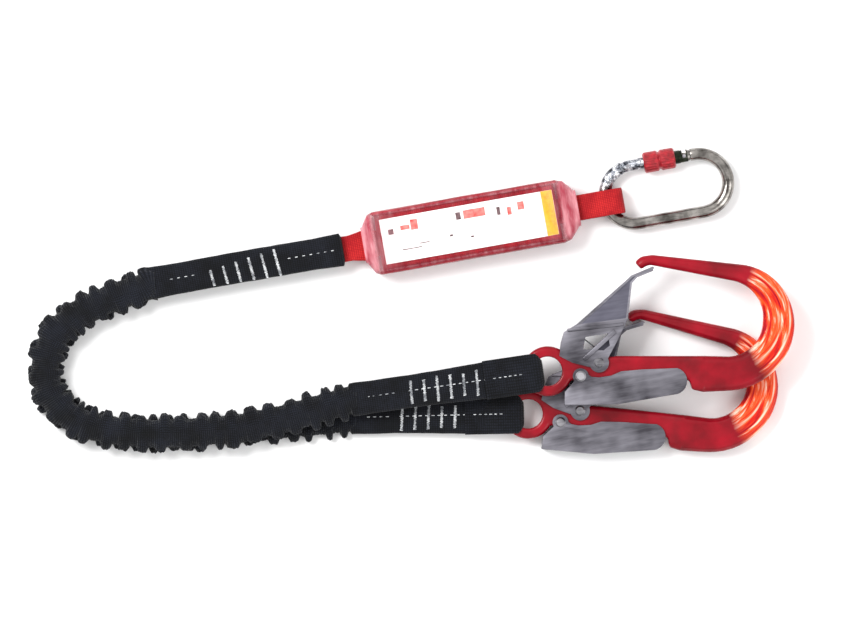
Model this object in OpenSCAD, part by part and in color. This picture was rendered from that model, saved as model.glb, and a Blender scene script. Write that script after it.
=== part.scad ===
// Twin leg shock absorbing lanyard: energy absorber pack, screw lock carabiner,
// two elastic legs and two scaffold hooks, laid out flat on the ground plane z = 0.
// +X runs along the absorber towards the carabiner, +Z is up, millimetres.

/* [Energy absorber pack] */
// Length of the full section of the clear cover
pack_l = 152; // [130:1:180]
// Width of the clear cover
pack_w = 52; // [46:1:64]
// Height of the clear cover
pack_h = 28; // [26:1:36]
// Wall of the clear cover
cover_t = 0.8; // [0.6:0.1:1.2]
// Width of the label card
label_w = 37; // [30:1:40]

/* [Webbing] */
// Thickness of one layer of red strap
strap_t = 2.4; // [1.6:0.1:2.6]
// Width of the red straps where they leave the pack
strap_w = 21; // [18:1:22]
// Width of the black sewn sleeves
sleeve_w = 27; // [24:1:32]
// Thickness of the black sewn sleeves
sleeve_t = 7; // [5:0.5:7.5]
// Width of a gathered elastic leg
leg_w = 28; // [24:1:34]
// Thickness of a gathered elastic leg
leg_t = 11.4; // [9:0.2:11.6]
// Wall of the gathered tubular webbing
leg_wall = 2; // [1.5:0.5:2.5]

/* [Carabiner] */
// Length of the straight sides, between the centres of the end arcs
oval_l = 54; // [48:1:60]
// Radius of the end arcs, to the middle of the bar
oval_r = 24; // [23:0.5:30]
// Diameter of the bar
bar_d = 10; // [9:0.5:11]
// Outer diameter of the screw sleeve
screw_d = 17; // [15:0.5:18]
// Length of the screw sleeve
screw_l = 26; // [20:1:28]

/* [Scaffold hooks] */
// Distance from the eye to the centre of the bow
bow_x = 149; // [140:1:180]
// Radius of the bow, to the middle of its section
bow_r = 40; // [36:1:48]
// Length of the nose arm
nose_l = 71; // [66:1:76]
// Radius of the hole in the eye
eye_r = 12; // [11.5:0.5:14]
// Wall of the eye
eye_wall = 8.5; // [7:0.5:10]
// Thickness of the shank and the eye
shank_t = 12; // [10:0.5:13]
// Thickness of the bow
bow_t = 15; // [13:0.5:16]
// Thickness of the pressed sheet of the gate and the lever
sheet_t = 1.5; // [1:0.1:2]
// Radius of the rivets
rivet_r = 2.5; // [2:0.1:3]

/* [Hidden] */

// Gaps
slack = 0.4;      // between soft parts, and between the moving sheet parts
pin_fit = 0.05;   // radial clearance of a pin in its hole

// Hook stack: half thickness over the rivet heads, and the mid height of each hook
cheek_in = shank_t / 2 + 0.5;
cheek_out = cheek_in + sheet_t;
rivet_head = 1;
half_stack = max(cheek_out + rivet_head, shank_t / 2 + slack + 3) + 0.2;
hook_2_z = half_stack;
hook_1_z = 3 * half_stack + slack;

// Where each hook's eye lies, the way its hook points and the way its sleeve points
eye_1 = [41.5, -127.3, hook_1_z];
eye_2 = [20, -159.2, hook_2_z];
hook_1_turn = -10;
hook_2_turn = -16;

// Routes of the elastic legs, from the absorber sleeve to the hook sleeve
route_x = -262;
tongue_z0 = 10.4;
tongue_z1 = tongue_z0 + 2 * strap_t;
leg_gap = 0.2;                       // between the end of a leg and the edge of its sleeve
tongue_mid = tongue_z0 + strap_t;
leg_rise = max(strap_t + sleeve_t / 2, leg_t / 2 + leg_gap);   // each leg's middle off the tongue's
leg_1_start = [route_x, 0, tongue_mid + leg_rise];
leg_2_start = [route_x, 0, tongue_mid - leg_rise];
leg_1_end = [-116, -122.7, 18.6];
leg_2_end = [-118.8, -138.1, 6.2];
leg_straight = 5;                    // how far a leg runs straight on from its sleeve

// A point at a level distance from one point, away from another
function away(point, other, by) =
    let (d = [point[0] - other[0], point[1] - other[1]])
    point + by / norm(d) * [d[0], d[1], 0];
function leg_out(start) = [for (by = [leg_gap, leg_straight]) start - [by, 0, 0]];
function leg_in(end, eye) = [for (by = [leg_straight, leg_gap]) away(end, eye, by)];

leg_1_route = concat(leg_out(leg_1_start), [
    [-275, -3, 18.7], [-292, -5, 18.7], [-310, -9, 18.7], [-327, -14, 18.7], [-342, -22, 18.7],
    [-353, -32, 18.7], [-360, -44, 18.7], [-364, -58, 18.7], [-363, -72, 18.7], [-358, -85, 18.7],
    [-349, -97, 18.7], [-336, -106, 18.7], [-319, -113, 18.7], [-298, -119, 18.7], [-278, -123, 18.7],
    [-257, -126, 18.7], [-236, -128, 18.7], [-216, -130, 18.7], [-195, -129, 18.7],
    [-175, -128, 18.7], [-154, -126, 18.7], [-135, -124, 18.7]],
    leg_in(leg_1_end, eye_1));
leg_2_route = concat(leg_out(leg_2_start), [
    [-275, -3, 6.2], [-292, -5, 6.2], [-310, -9, 6.2], [-327, -14, 6.2], [-342, -22, 6.2],
    [-353, -32, 6.2], [-360, -44, 6.2], [-364, -58, 6.2], [-363, -72, 6.2], [-358, -85, 6.2],
    [-349, -97, 6.2], [-336, -106, 6.2], [-319, -113, 6.2], [-298, -119, 6.2], [-278, -123, 6.2],
    [-257, -126, 6.2], [-236, -128, 6.2], [-216, -130, 6.2], [-196, -132, 6.2], [-176, -133, 6.2],
    [-156, -135, 6.2], [-137, -136, 6.2]],
    leg_in(leg_2_end, eye_2));

// ---------------------------------------------------------------- helpers
function arc(cx, cy, r, from, to, steps) =
    [for (i = [0:steps]) let (a = from + (to - from) * i / steps) [cx + r * cos(a), cy + r * sin(a)]];
function unit(v) = v / norm(v);
function reversed(list) = [for (i = [len(list) - 1:-1:0]) list[i]];
function moved(list, by) = [for (p = list) p + by];
function ellipse(w, h, sides) =
    [for (i = [0:sides - 1]) let (a = 360 * i / sides) [w / 2 * cos(a), h / 2 * sin(a)]];

// Rings of points along a path: each section point is [sideways, upwards]
function tangent(path, i) = unit(path[min(i + 1, len(path) - 1)] - path[max(i - 1, 0)]);
function ring(path, i, section) =
    let (t = tangent(path, i), side = unit(cross([0, 0, 1], t)), up = cross(t, side))
    [for (p = section) path[i] + side * p[0] + up * p[1]];
function skin(rings, sides, first, flip) =
    [for (i = [0:rings - 2], j = [0:sides - 1])
        let (k = (j + 1) % sides, a = first + i * sides, b = a + sides)
        each flip ? [[a + j, b + j, b + k], [a + j, b + k, a + k]]
                  : [[a + j, b + k, b + j], [a + j, a + k, b + k]]];
function cap(sides, first, flip) =
    [for (j = [1:sides - 2]) flip ? [first, first + j, first + j + 1] : [first, first + j + 1, first + j]];
function rim(sides, outer, inner, flip) =
    [for (j = [0:sides - 1]) let (k = (j + 1) % sides)
        each flip ? [[outer + j, outer + k, inner + k], [outer + j, inner + k, inner + j]]
                  : [[outer + j, inner + k, outer + k], [outer + j, inner + j, inner + k]]];

module sweep(path, section) {
    n = len(path);
    s = len(section);
    polyhedron(
        points = [for (i = [0:n - 1]) each ring(path, i, section)],
        faces = concat(skin(n, s, 0, false), cap(s, 0, false), cap(s, (n - 1) * s, true)));
}

module sweep_tube(path, outer, inner) {
    n = len(path);
    s = len(outer);
    polyhedron(
        points = concat([for (i = [0:n - 1]) each ring(path, i, outer)],
                        [for (i = [0:n - 1]) each ring(path, i, inner)]),
        faces = concat(skin(n, s, 0, false), skin(n, s, n * s, true),
                       rim(s, 0, n * s, false), rim(s, (n - 1) * s, (2 * n - 1) * s, true)));
}

function helix(r, turns, length, steps) =
    [for (i = [0:turns * steps]) let (a = 360 * i / steps)
        [r * cos(a), r * sin(a), length * i / (turns * steps)]];

module slab(outline, z0, z1) {
    translate([0, 0, z0]) linear_extrude(height = z1 - z0) polygon(outline);
}

// A flat shape seen from the side, spread over a width about y = 0
module side_profile(outline, width) {
    translate([0, width / 2, 0]) rotate([90, 0, 0]) linear_extrude(height = width) polygon(outline);
}

// ---------------------------------------------------------------- energy absorber pack
pack_x1 = 74;                        // harness end of the full section
pack_x0 = pack_x1 - pack_l;          // leg end of the full section
taper_r = 14;                        // length of the tapered harness end
taper_l = 10;                        // length of the tapered leg end
cover_r = 6;                         // edge rounding of the cover
mouth_w = strap_w + 2;
mouth_gap = 0.3;
web_gap = 0.4;

module rounded_box_outline(w, h, r) {
    translate([-w / 2 + r, 0]) square([w - 2 * r, h]);
    translate([-w / 2, r]) square([w, h - 2 * r]);
    for (x = [-w / 2 + r, w / 2 - r], y = [r, h - r]) translate([x, y]) circle(r = r, $fn = 48);
}

module pack_section(x, length, inset) {
    translate([x, 0, inset]) rotate([90, 0, 90]) linear_extrude(height = length)
        rounded_box_outline(pack_w - 2 * inset, pack_h - 2 * inset, cover_r - inset);
}

module pack_taper(x, length, inset) {
    hull() {
        translate([x - 0.005, -pack_w / 2 + inset, cover_r])
            cube([0.01, pack_w - 2 * inset, pack_h - 2 * cover_r]);
        translate([x - 0.005, -pack_w / 2 + cover_r, inset])
            cube([0.01, pack_w - 2 * cover_r, pack_h - 2 * inset]);
        translate([x + length, -mouth_w / 2 - 4 + inset, tongue_z0 - 5 + inset])
            cube([0.01, mouth_w + 8 - 2 * inset, tongue_z1 - tongue_z0 + 10 - 2 * inset]);
    }
}

module clear_cover() {
    color("mistyrose", 0.5) difference() {
        union() {
            pack_section(pack_x0, pack_l, 0);
            pack_taper(pack_x1, taper_r, 0);
            pack_taper(pack_x0, -taper_l, 0);
        }
        pack_section(pack_x0 - 0.01, pack_l + 0.02, cover_t);
        pack_taper(pack_x1, taper_r - cover_t, cover_t);
        pack_taper(pack_x0, -taper_l + cover_t, cover_t);
        translate([pack_x0 - taper_l - 5, -mouth_w / 2, tongue_z0 - mouth_gap])
            cube([pack_l + taper_l + taper_r + 10, mouth_w, tongue_z1 - tongue_z0 + 2 * mouth_gap]);
    }
}

// Folded tear webbing: layers joined by rounded folds, with a slot at each end for the straps
fold_x0 = pack_x0 + 2;
fold_x1 = pack_x1 - 2;
fold_z0 = cover_t + web_gap;
fold_z1 = pack_h - cover_t - 1;
fold_w = pack_w - 2 * cover_t - 7;
seam_l = 18;                         // how far a strap is sewn into the folded webbing

module tear_webbing() {
    layers = 8;
    step = (fold_z1 - fold_z0) / layers;
    color("firebrick") difference() {
        union() {
            translate([fold_x0 + step, -fold_w / 2, fold_z0])
                cube([fold_x1 - fold_x0 - 2 * step, fold_w, fold_z1 - fold_z0]);
            for (i = [0:layers - 1], x = [fold_x0 + step, fold_x1 - step])
                translate([x, -fold_w / 2, fold_z0 + step * (i + 0.5)]) rotate([-90, 0, 0])
                    cylinder(r = step / 2, h = fold_w, $fn = 24);
        }
        for (x = [fold_x0 - 1, fold_x1 - seam_l])
            translate([x, -fold_w / 2 - 1, tongue_z0]) cube([seam_l + 1, fold_w + 2, tongue_z1 - tongue_z0]);
    }
}

module label_card() {
    color("white") translate([fold_x0 + 3, -label_w / 2, fold_z1])
        cube([fold_x1 - fold_x0 - 6, label_w, 0.5]);
}

// ---------------------------------------------------------------- red straps
rod_x = pack_x1 + taper_r + 25;      // where the carabiner's bar passes through the loop
rod_z = screw_d / 2 + 0.1;           // mid height of the carabiner
oval_y = 3;                          // how far the carabiner lies off the pack's middle line
sag = oval_r - sqrt(pow(oval_r, 2) - pow(strap_w / 2 + oval_y, 2));
loop_up = bar_d / 2 * 1.12 + sag + 1;
loop_down = bar_d / 2 + 0.4;
loop_back = bar_d / 2 + 3;
loop_front = bar_d / 2 + 7.2;

module harness_loop() {
    top = rod_z + loop_up;
    base = rod_z - loop_down;
    x0 = rod_x - loop_back;
    x1 = rod_x + loop_front;
    entry = pack_x1 + taper_r + 2;
    mid = (tongue_z0 + tongue_z1) / 2;
    root = fold_x1 - seam_l;
    color("crimson") difference() {
        side_profile(concat(
            [[root, tongue_z0], [entry, tongue_z0], [x0, base - strap_t]],
            arc(x1 - 3, base - strap_t + 5.4, 5.4, -90, 0, 6),
            arc(x1 - 3, top + strap_t - 5.4, 5.4, 0, 90, 6),
            [[x0, top + strap_t], [entry, tongue_z1], [root, tongue_z1]]), strap_w);
        side_profile(concat(
            [[entry + 4, mid], [x0 + 1, base]],
            arc(x1 - 3, base + 3, 3, -90, 0, 6), arc(x1 - 3, top - 3, 3, 0, 90, 6),
            [[x0 + 1, top]]), strap_w + 2);
    }
}

module harness_loop_stitching() {
    color("darkred") for (i = [0:3])
        translate([fold_x1 + 3 + 4 * i, -strap_w / 2 + 2, tongue_z1]) cube([1, strap_w - 4, 0.3]);
}

sleeve_x1 = pack_x0 - taper_l - 18;  // where the black sleeves end beside the pack

module leg_tongue() {
    root = fold_x0 + seam_l;
    mouth = pack_x0 - taper_l;
    tip = sleeve_x1 - 22;
    half = strap_w / 2;
    color("crimson") slab([
        [root, -half], [root, half], [mouth, half + 0.5], [tip, half - 0.5],
        [tip, -half + 0.5], [mouth, -half - 0.5]], tongue_z0, tongue_z1);
}

// ---------------------------------------------------------------- black sleeves at the absorber end
module absorber_sleeve(z) {
    color("#1c1d22") difference() {
        slab([[route_x, -sleeve_w / 2], [sleeve_x1 - 6, -sleeve_w / 2], [sleeve_x1, -sleeve_w / 2 + 1],
              [sleeve_x1, sleeve_w / 2 - 1], [sleeve_x1 - 6, sleeve_w / 2], [route_x, sleeve_w / 2]],
             z, z + sleeve_t);
        for (y = [-sleeve_w / 2, sleeve_w / 2], e = [z, z + sleeve_t])
            translate([route_x - 1, y, e]) rotate([45, 0, 0])
                translate([0, -1.2, -1.2]) cube([sleeve_x1 - route_x + 2, 2.4, 2.4]);
    }
}

module leg_1_absorber_sleeve() { absorber_sleeve(tongue_z1); }
module leg_2_absorber_sleeve() { absorber_sleeve(tongue_z0 - sleeve_t); }

bar_w = 2.2;                         // width of a bar tack
bar_pitch = 10.7;
bar_count = 6;

// A row of bar tacks, running from x in steps of the pitch
module bar_tacks(x, z, length) {
    for (i = [0:bar_count - 1])
        translate([x + bar_pitch * i, -length / 2, z]) cube([bar_w, length, 0.4]);
}

module absorber_end_stitching() {
    color("white") bar_tacks(sleeve_x1 - 110, tongue_z1 + sleeve_t, sleeve_w * 0.6);
}

// ---------------------------------------------------------------- elastic legs
leg_sides = 10;

module leg_webbing(route) {
    color("#20222a") sweep_tube(route, ellipse(leg_w, leg_t, leg_sides),
        ellipse(leg_w - 2 * leg_wall, leg_t - 2 * leg_wall, leg_sides));
}

module elastic_core(route) {
    color("gainsboro") sweep(route, ellipse(leg_w - 2 * leg_wall - 3, leg_t - 2 * leg_wall - 1.5, 8));
}

// ---------------------------------------------------------------- black sleeves at the hook ends
// The sleeve's own frame has its origin at the eye of the hook and runs back along -X
loop_wall = 3;
loop_half = shank_t / 2 + slack;
wrap_x1 = -3.3;
wrap_x0 = wrap_x1 - loop_wall;
eye_out = eye_r + eye_wall;
cavity_x0 = -eye_out - 0.7;
wrap_half_w = sqrt(pow(eye_r - 0.6, 2) - pow(wrap_x0, 2));

function turn_between(a, b) = atan2(b[1] - a[1], b[0] - a[0]);

module hook_sleeve(start, eye) {
    dist = norm([eye[0] - start[0], eye[1] - start[1]]);
    drop = start[2] - eye[2];
    half = sleeve_t / 2;
    out = loop_half + loop_wall;
    neck = cavity_x0 - 24;
    color("#1c1d22") translate(eye) rotate([0, 0, turn_between(start, eye)]) {
        difference() {
            intersection() {
                side_profile([
                    [-dist, drop - half], [neck, -half - 0.5], [cavity_x0 - 3, -out],
                    [wrap_x1 - 4, -out], [wrap_x1, -out + 4], [wrap_x1, out - 4],
                    [wrap_x1 - 4, out], [cavity_x0 - 3, out], [neck, half + 0.5],
                    [-dist, drop + half]], sleeve_w);
                slab([[-dist, -sleeve_w / 2], [-eye_r, -sleeve_w / 2], [wrap_x1, -wrap_half_w],
                      [wrap_x1, wrap_half_w], [-eye_r, sleeve_w / 2], [-dist, sleeve_w / 2]],
                     min(drop, 0) - 30, max(drop, 0) + 30);
            }
            translate([cavity_x0, -sleeve_w, -loop_half])
                cube([wrap_x0 - cavity_x0, 2 * sleeve_w, 2 * loop_half]);
            for (s = [-1, 1]) translate([-eye_r, s > 0 ? wrap_half_w : -wrap_half_w - 20, -loop_half])
                cube([eye_r, 20, 2 * loop_half]);
        }
    }
}

// Bar tacks on the sleeve's upper face, which slopes from its leg to its hook
module hook_stitching(start, eye) {
    dist = norm([eye[0] - start[0], eye[1] - start[1]]);
    neck = -cavity_x0 + 24;
    rise = atan2(eye[2] + 0.5 - start[2], dist - neck);
    color("white") translate([start[0], start[1], start[2] + sleeve_t / 2])
        rotate([0, 0, turn_between(start, eye)]) rotate([0, -rise, 0]) bar_tacks(36, 0, sleeve_w * 0.6);
}

// ---------------------------------------------------------------- carabiner
// Its own frame has the origin at the middle of the oval, with the gate on the +Y side
oval_x = rod_x + oval_r + oval_l / 2;
bar_r = bar_d / 2;
hinge = [-oval_l / 2 - 1, oval_r];
gate_r = bar_r - 0.2;
nose_reach = 3.5;                     // straight bar left for the nose before the end arc
gate_end = oval_l / 2 - nose_reach;
nose_gap = 0.4;
nose_x = gate_end + nose_gap;
tang_t = 4;
tang_r = gate_r - 0.4;
fork_gap = 0.2;
fork_end = hinge[0] + 8.5;
nose_pin_x = nose_x - 5.1;
nose_pin_r = 1.4;
tongue_t = 3.6;
hinge_pin_r = 1.5;
thread_r = gate_r + 0.6;
thread_edge = 2;                      // thread stops this far inside the sleeve and short of the gate's end
screw_bore_r = thread_r + 0.1;
screw_x = hinge[0] + 13;              // where the sleeve stands while the gate is unlocked
plunger_r = 2.1;
bore_r = plunger_r + 0.1;
end_arc = 105;                       // where the bar stops short of the hinge, in degrees round the end arc

module at_carabiner() { translate([oval_x, oval_y, rod_z]) children(); }
module along_x(x, length, r, fn = 64) {
    translate([x, 0, 0]) rotate([0, 90, 0]) cylinder(r = r, h = length, $fn = fn);
}

module bar_arc(cx, from, to) {
    translate([cx, 0, 0]) rotate([0, 0, from]) rotate_extrude(angle = to - from, $fn = 96)
        translate([oval_r, 0]) circle(r = bar_r, $fn = 48);
}

module carabiner_body() {
    color("silver") at_carabiner() difference() {
        union() {
            rotate([180, 0, 0]) bar_arc(-oval_l / 2, 90, 360 - end_arc);
            translate([0, -oval_r, 0]) along_x(-oval_l / 2, oval_l, bar_r);
            bar_arc(oval_l / 2, -90, 90);
            translate([0, oval_r, 0]) along_x(nose_x, oval_l / 2 - nose_x, bar_r);
            translate([nose_x - 6.6, oval_r - 3.2, -tongue_t / 2]) cube([7.6, 6.4, tongue_t]);
            slab(concat([for (r = [oval_r + bar_r - 1, oval_r - bar_r + 1])
                            [-oval_l / 2 + r * cos(end_arc + 3), r * sin(end_arc + 3)]],
                        [hinge - [0, tang_r], hinge + [0, tang_r]]), -tang_t / 2, tang_t / 2);
            translate([hinge[0], hinge[1], -tang_t / 2]) cylinder(r = tang_r, h = tang_t, $fn = 48);
        }
        translate([hinge[0], hinge[1], -bar_d]) cylinder(r = hinge_pin_r, h = 2 * bar_d, $fn = 32);
        translate([nose_pin_x, oval_r, -bar_d]) cylinder(r = nose_pin_r, h = 2 * bar_d, $fn = 32);
    }
}

module carabiner_nose_pin() {
    color("dimgray") at_carabiner() translate([nose_pin_x, oval_r, 0])
        cylinder(r = nose_pin_r, h = 7.6, center = true, $fn = 32);
}

module carabiner_hinge_pin() {
    color("dimgray") at_carabiner() translate([hinge[0], hinge[1], 0])
        cylinder(r = hinge_pin_r, h = 2 * gate_r, center = true, $fn = 32);
}

module carabiner_gate() {
    color("gainsboro") at_carabiner() translate([0, oval_r, 0]) difference() {
        union() {
            along_x(hinge[0], gate_end - hinge[0], gate_r);
            along_x(screw_x + thread_edge, gate_end - screw_x - 2 * thread_edge, thread_r);
            intersection() {
                translate([hinge[0], 0, -gate_r]) cylinder(r = gate_r, h = 2 * gate_r, $fn = 64);
                along_x(hinge[0] - gate_r, 2 * gate_r, gate_r);
            }
        }
        translate([hinge[0] - 8, -bar_d, -tang_t / 2 - fork_gap])
            cube([fork_end - hinge[0] + 8, 2 * bar_d, tang_t + 2 * fork_gap]);
        translate([hinge[0], 0, -bar_d]) cylinder(r = hinge_pin_r + pin_fit, h = 2 * bar_d, $fn = 32);
        along_x(fork_end - 1, 16, bore_r, 32);
        translate([nose_x - 8.6, -bar_d, -tongue_t / 2 - 0.3]) cube([12, 2 * bar_d, tongue_t + 0.6]);
        translate([nose_pin_x - nose_pin_r - 0.4, -nose_pin_r - 0.4, -bar_d])
            cube([2 * nose_pin_r + 0.8, bar_d, 2 * bar_d]);
    }
}

plunger_l = 7.5;

module carabiner_gate_plunger() {
    color("dimgray") at_carabiner() translate([0, oval_r, 0])
        along_x(hinge[0] + tang_r + 0.15, plunger_l, plunger_r, 32);
}

module carabiner_gate_spring() {
    wire = 0.3;
    x0 = hinge[0] + tang_r + 0.15 + plunger_l + wire;
    color("dimgray") at_carabiner() translate([x0, oval_r, 0]) rotate([0, 90, 0])
        sweep(helix(plunger_r - 0.5, 7, fork_end + 14.6 - x0 - wire, 10), ellipse(2 * wire, 2 * wire, 6));
}

module carabiner_screw_sleeve() {
    screw_r = screw_d / 2;
    flutes = 20;
    color("red") at_carabiner() translate([screw_x, oval_r, 0]) rotate([0, 90, 0]) difference() {
        rotate_extrude($fn = 96) polygon([
            [screw_bore_r, 0], [screw_r - 1.2, 0], [screw_r, 1.2], [screw_r, screw_l * 0.43],
            [screw_r - 1.5, screw_l * 0.5], [screw_r, screw_l * 0.57], [screw_r, screw_l - 1.2],
            [screw_r - 1.2, screw_l], [screw_bore_r, screw_l]]);
        for (i = [0:flutes - 1]) rotate([0, 0, 360 * i / flutes])
            translate([screw_r + 0.5, 0, -1]) cylinder(r = 0.9, h = screw_l + 2, $fn = 16);
    }
}

// ---------------------------------------------------------------- scaffold hook
// Its own frame has the origin at the middle of the eye, +X along the shank and +Y towards the mouth
shank_y = 1;                         // height of the shank's middle line above the eye
shank_up = 11.5;                     // from the middle line to the mouth side
shank_down = 8.5;                    // from the middle line to the spine, under the lever
shoulder_x = 117;                    // where the spine steps out to the palm swell
nose_tilt = 8.5;                     // how much the nose arm rises from the bow
bow_steps = 24;
nose_w0 = 7.2;                       // half width of the nose arm where it leaves the bow
nose_w1 = 4.2;                       // half width of the nose arm before its lip
bow_widths_in = [[-90, 11], [-45, 12.5], [0, 13], [45, 10], [90 - nose_tilt, nose_w0]];
bow_widths_out = [[-90, 17], [-45, 14.5], [0, 13], [45, 10], [90 - nose_tilt, nose_w0]];
bow_y = shank_y + bow_r;

// Each station: [x, y, outward x, outward y, width to the inside, width to the outside]
shank_rail = [
    [12, shank_y, 0, -1, shank_up, shank_down], [shoulder_x - 1, shank_y, 0, -1, shank_up, shank_down],
    [shoulder_x + 1, shank_y, 0, -1, shank_up, 16], [shoulder_x + 10, shank_y, 0, -1, shank_up, 18]];
bow_rail = [for (i = [0:bow_steps]) let (a = -90 + (180 - nose_tilt) * i / bow_steps)
    [bow_x + bow_r * cos(a), bow_y + bow_r * sin(a), cos(a), sin(a),
     lookup(a, bow_widths_in), lookup(a, bow_widths_out)]];
bow_top = bow_rail[bow_steps];
nose_dir = [-bow_top[3], bow_top[2]];
nose_end = [bow_top[0], bow_top[1]] + nose_dir * nose_l;
nose_rail = [for (s = [0.35, 0.7, 1]) let (w = nose_w0 + (nose_w1 - nose_w0) * s)
    [bow_top[0] + nose_dir[0] * nose_l * s, bow_top[1] + nose_dir[1] * nose_l * s,
     bow_top[2], bow_top[3], w, w]];

// The nose ends in a small lip that turns down over the outside of the gate
lip_rail = [
    [nose_end[0] - 6, nose_end[1] - 1.1, -0.426, 0.904, 4.4, 4.4],
    [nose_end[0] - 9.3, nose_end[1] - 3.6, -0.645, 0.764, 4.2, 4.2],
    [nose_end[0] - 10.8, nose_end[1] - 5, -0.69, 0.724, 3.4, 3.4]];
bow_onward = concat(bow_rail, nose_rail, lip_rail);
rail = concat(shank_rail, bow_onward);

function rail_side(stations, inset, outside) = [for (s = stations)
    outside ? [s[0] + s[2] * (s[5] - inset), s[1] + s[3] * (s[5] - inset)]
            : [s[0] - s[2] * (s[4] - inset), s[1] - s[3] * (s[4] - inset)]];

module rail_slab(stations, inset, thickness) {
    slab(concat(rail_side(stations, inset, true), reversed(rail_side(stations, inset, false))),
         -thickness / 2, thickness / 2);
}

gate_pivot = [42, 7];
lever_pivot = [27, -4];
gate_boss = 8;
lever_boss = 6.5;
pocket_r = 7;
pocket_t = 6.4;
lever_spring_x = 52;
spring_seat_r = 5.2;

// Outlines of the pressed sheet parts, with the path of the web that joins the two cheeks.
// The gate's tip lies under the nose and its lip.
tip = nose_end + [1.3, -5.4];
gate_web = [[11, 24], [13.5, 32], [24, 38.5], tip - [22, 11.6], tip - [17.5, 7.3], tip];
gate_outline = concat([[34, 3.5], [20, 7], [9.5, 12.5]], gate_web,
    [tip - [-0.3, 3.6], tip - [13, 9.1], tip - [17, 13.6], tip - [20.5, 42.6], [58, 27], [49, 10]]);
gate_window = [[29, 18], [31, 28], [49, 31], [51, 21], [46, 17]];
lever_web = concat([[14, -27.5], [57, -27]], arc(103, -8, 11, -75, -60, 2));
lever_outline = concat([[22, -8], [14, -17]], lever_web, arc(103, -8, 11, -45, 75, 8),
    [[77, 1.5], [60, 0], [52, -3.5], [42, -5], [36, -4.5], [30, -1]]);
gate_web_shift = [1.5, -1.4];
lever_web_shift = [-0.3, sheet_t];

module channel(outline, web, shift, pivot, boss) {
    difference() {
        union() {
            for (z = [-cheek_out, cheek_in]) {
                slab(outline, z, z + sheet_t);
                translate([pivot[0], pivot[1], z]) cylinder(r = boss, h = sheet_t, $fn = 64);
            }
            slab(concat(web, reversed(moved(web, shift))), -cheek_out, cheek_out);
        }
        translate([pivot[0], pivot[1], -20]) cylinder(r = rivet_r + pin_fit, h = 40, $fn = 48);
    }
}

module hook_body() {
    color("#a81f2d") difference() {
        union() {
            cylinder(r = eye_out, h = shank_t - 3, center = true, $fn = 96);
            cylinder(r = eye_out - 1.5, h = shank_t, center = true, $fn = 96);
            rail_slab(rail, 0, shank_t - 3);
            rail_slab(rail, 1.5, shank_t);
            rail_slab(concat([shank_rail[3]], bow_onward), 3, bow_t);
        }
        cylinder(r = eye_r, h = shank_t + 2, center = true, $fn = 96);
        for (p = [gate_pivot, lever_pivot])
            translate([p[0], p[1], -20]) cylinder(r = rivet_r, h = 40, $fn = 48);
        translate([gate_pivot[0], gate_pivot[1], 0])
            cylinder(r = pocket_r, h = pocket_t, center = true, $fn = 48);
        translate([gate_pivot[0] - pocket_r, gate_pivot[1], -pocket_t / 2])
            cube([2 * pocket_r + 7, 20, pocket_t]);
        translate([lever_spring_x, shank_y - shank_down - 0.5, 0]) rotate([-90, 0, 0])
            cylinder(r = spring_seat_r, h = 6, $fn = 48);
    }
}

module rivet(pivot) {
    color("gainsboro") translate([pivot[0], pivot[1], 0]) {
        cylinder(r = rivet_r, h = 2 * cheek_out, center = true, $fn = 48);
        for (s = [-1, 1]) scale([1, 1, s]) translate([0, 0, cheek_out])
            cylinder(r1 = rivet_r + 1.8, r2 = rivet_r + 0.6, h = rivet_head, $fn = 48);
    }
}

// Torsion spring: one leg up the inside of the gate, the coil round the rivet, one leg along the pocket
module gate_spring() {
    r = rivet_r + 1.5;
    turns = 3;
    length = 4.2;
    coil = moved(helix(r, turns, length, 12), [gate_pivot[0], gate_pivot[1], -length / 2]);
    last = coil[len(coil) - 1];
    legs = [coil[0] + [-0.6, -4, 0], last + [-1.5, 8, 0], last + [-24.5, 26, 0]];
    color("dimgray") sweep(concat([legs[0]], coil, [legs[1], legs[2]]), ellipse(1.1, 1.1, 6));
}

// Compression spring between the spine and the lever's web
module lever_spring() {
    wire = 0.6;
    y1 = shank_y - shank_down - wire - 0.1;
    y0 = -27 + sheet_t + wire + 0.2;
    color("dimgray") translate([lever_spring_x, y0, 0]) rotate([-90, 0, 0])
        sweep(helix(3.6, 5, y1 - y0, 12), ellipse(2 * wire, 2 * wire, 6));
}

module at_hook(eye, turn) { translate(eye) rotate([0, 0, turn]) children(); }
module at_hook_1() { at_hook(eye_1, hook_1_turn) children(); }
module at_hook_2() { at_hook(eye_2, hook_2_turn) children(); }
module hook_gate() {
    color("silver") difference() {
        channel(gate_outline, gate_web, gate_web_shift, gate_pivot, gate_boss);
        slab(gate_window, -cheek_out - 1, cheek_out + 1);
    }
}

module hook_lever() {
    color("silver") channel(lever_outline, lever_web, lever_web_shift, lever_pivot, lever_boss);
}

clear_cover();
tear_webbing();
label_card();
harness_loop();
harness_loop_stitching();
leg_tongue();
leg_1_absorber_sleeve();
leg_2_absorber_sleeve();
absorber_end_stitching();
leg_webbing(leg_1_route);  // leg_1_webbing
elastic_core(leg_1_route);  // leg_1_elastic_core
leg_webbing(leg_2_route);  // leg_2_webbing
elastic_core(leg_2_route);  // leg_2_elastic_core
hook_sleeve(leg_1_end, eye_1);  // leg_1_hook_sleeve
hook_stitching(leg_1_end, eye_1);  // leg_1_hook_stitching
hook_sleeve(leg_2_end, eye_2);  // leg_2_hook_sleeve
hook_stitching(leg_2_end, eye_2);  // leg_2_hook_stitching
carabiner_body();
carabiner_nose_pin();
carabiner_hinge_pin();
carabiner_gate();
carabiner_gate_plunger();
carabiner_gate_spring();
carabiner_screw_sleeve();
at_hook_1() hook_body();  // hook_1_body
at_hook_1() hook_gate();  // hook_1_gate
at_hook_1() rivet(gate_pivot);  // hook_1_gate_rivet
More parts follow.
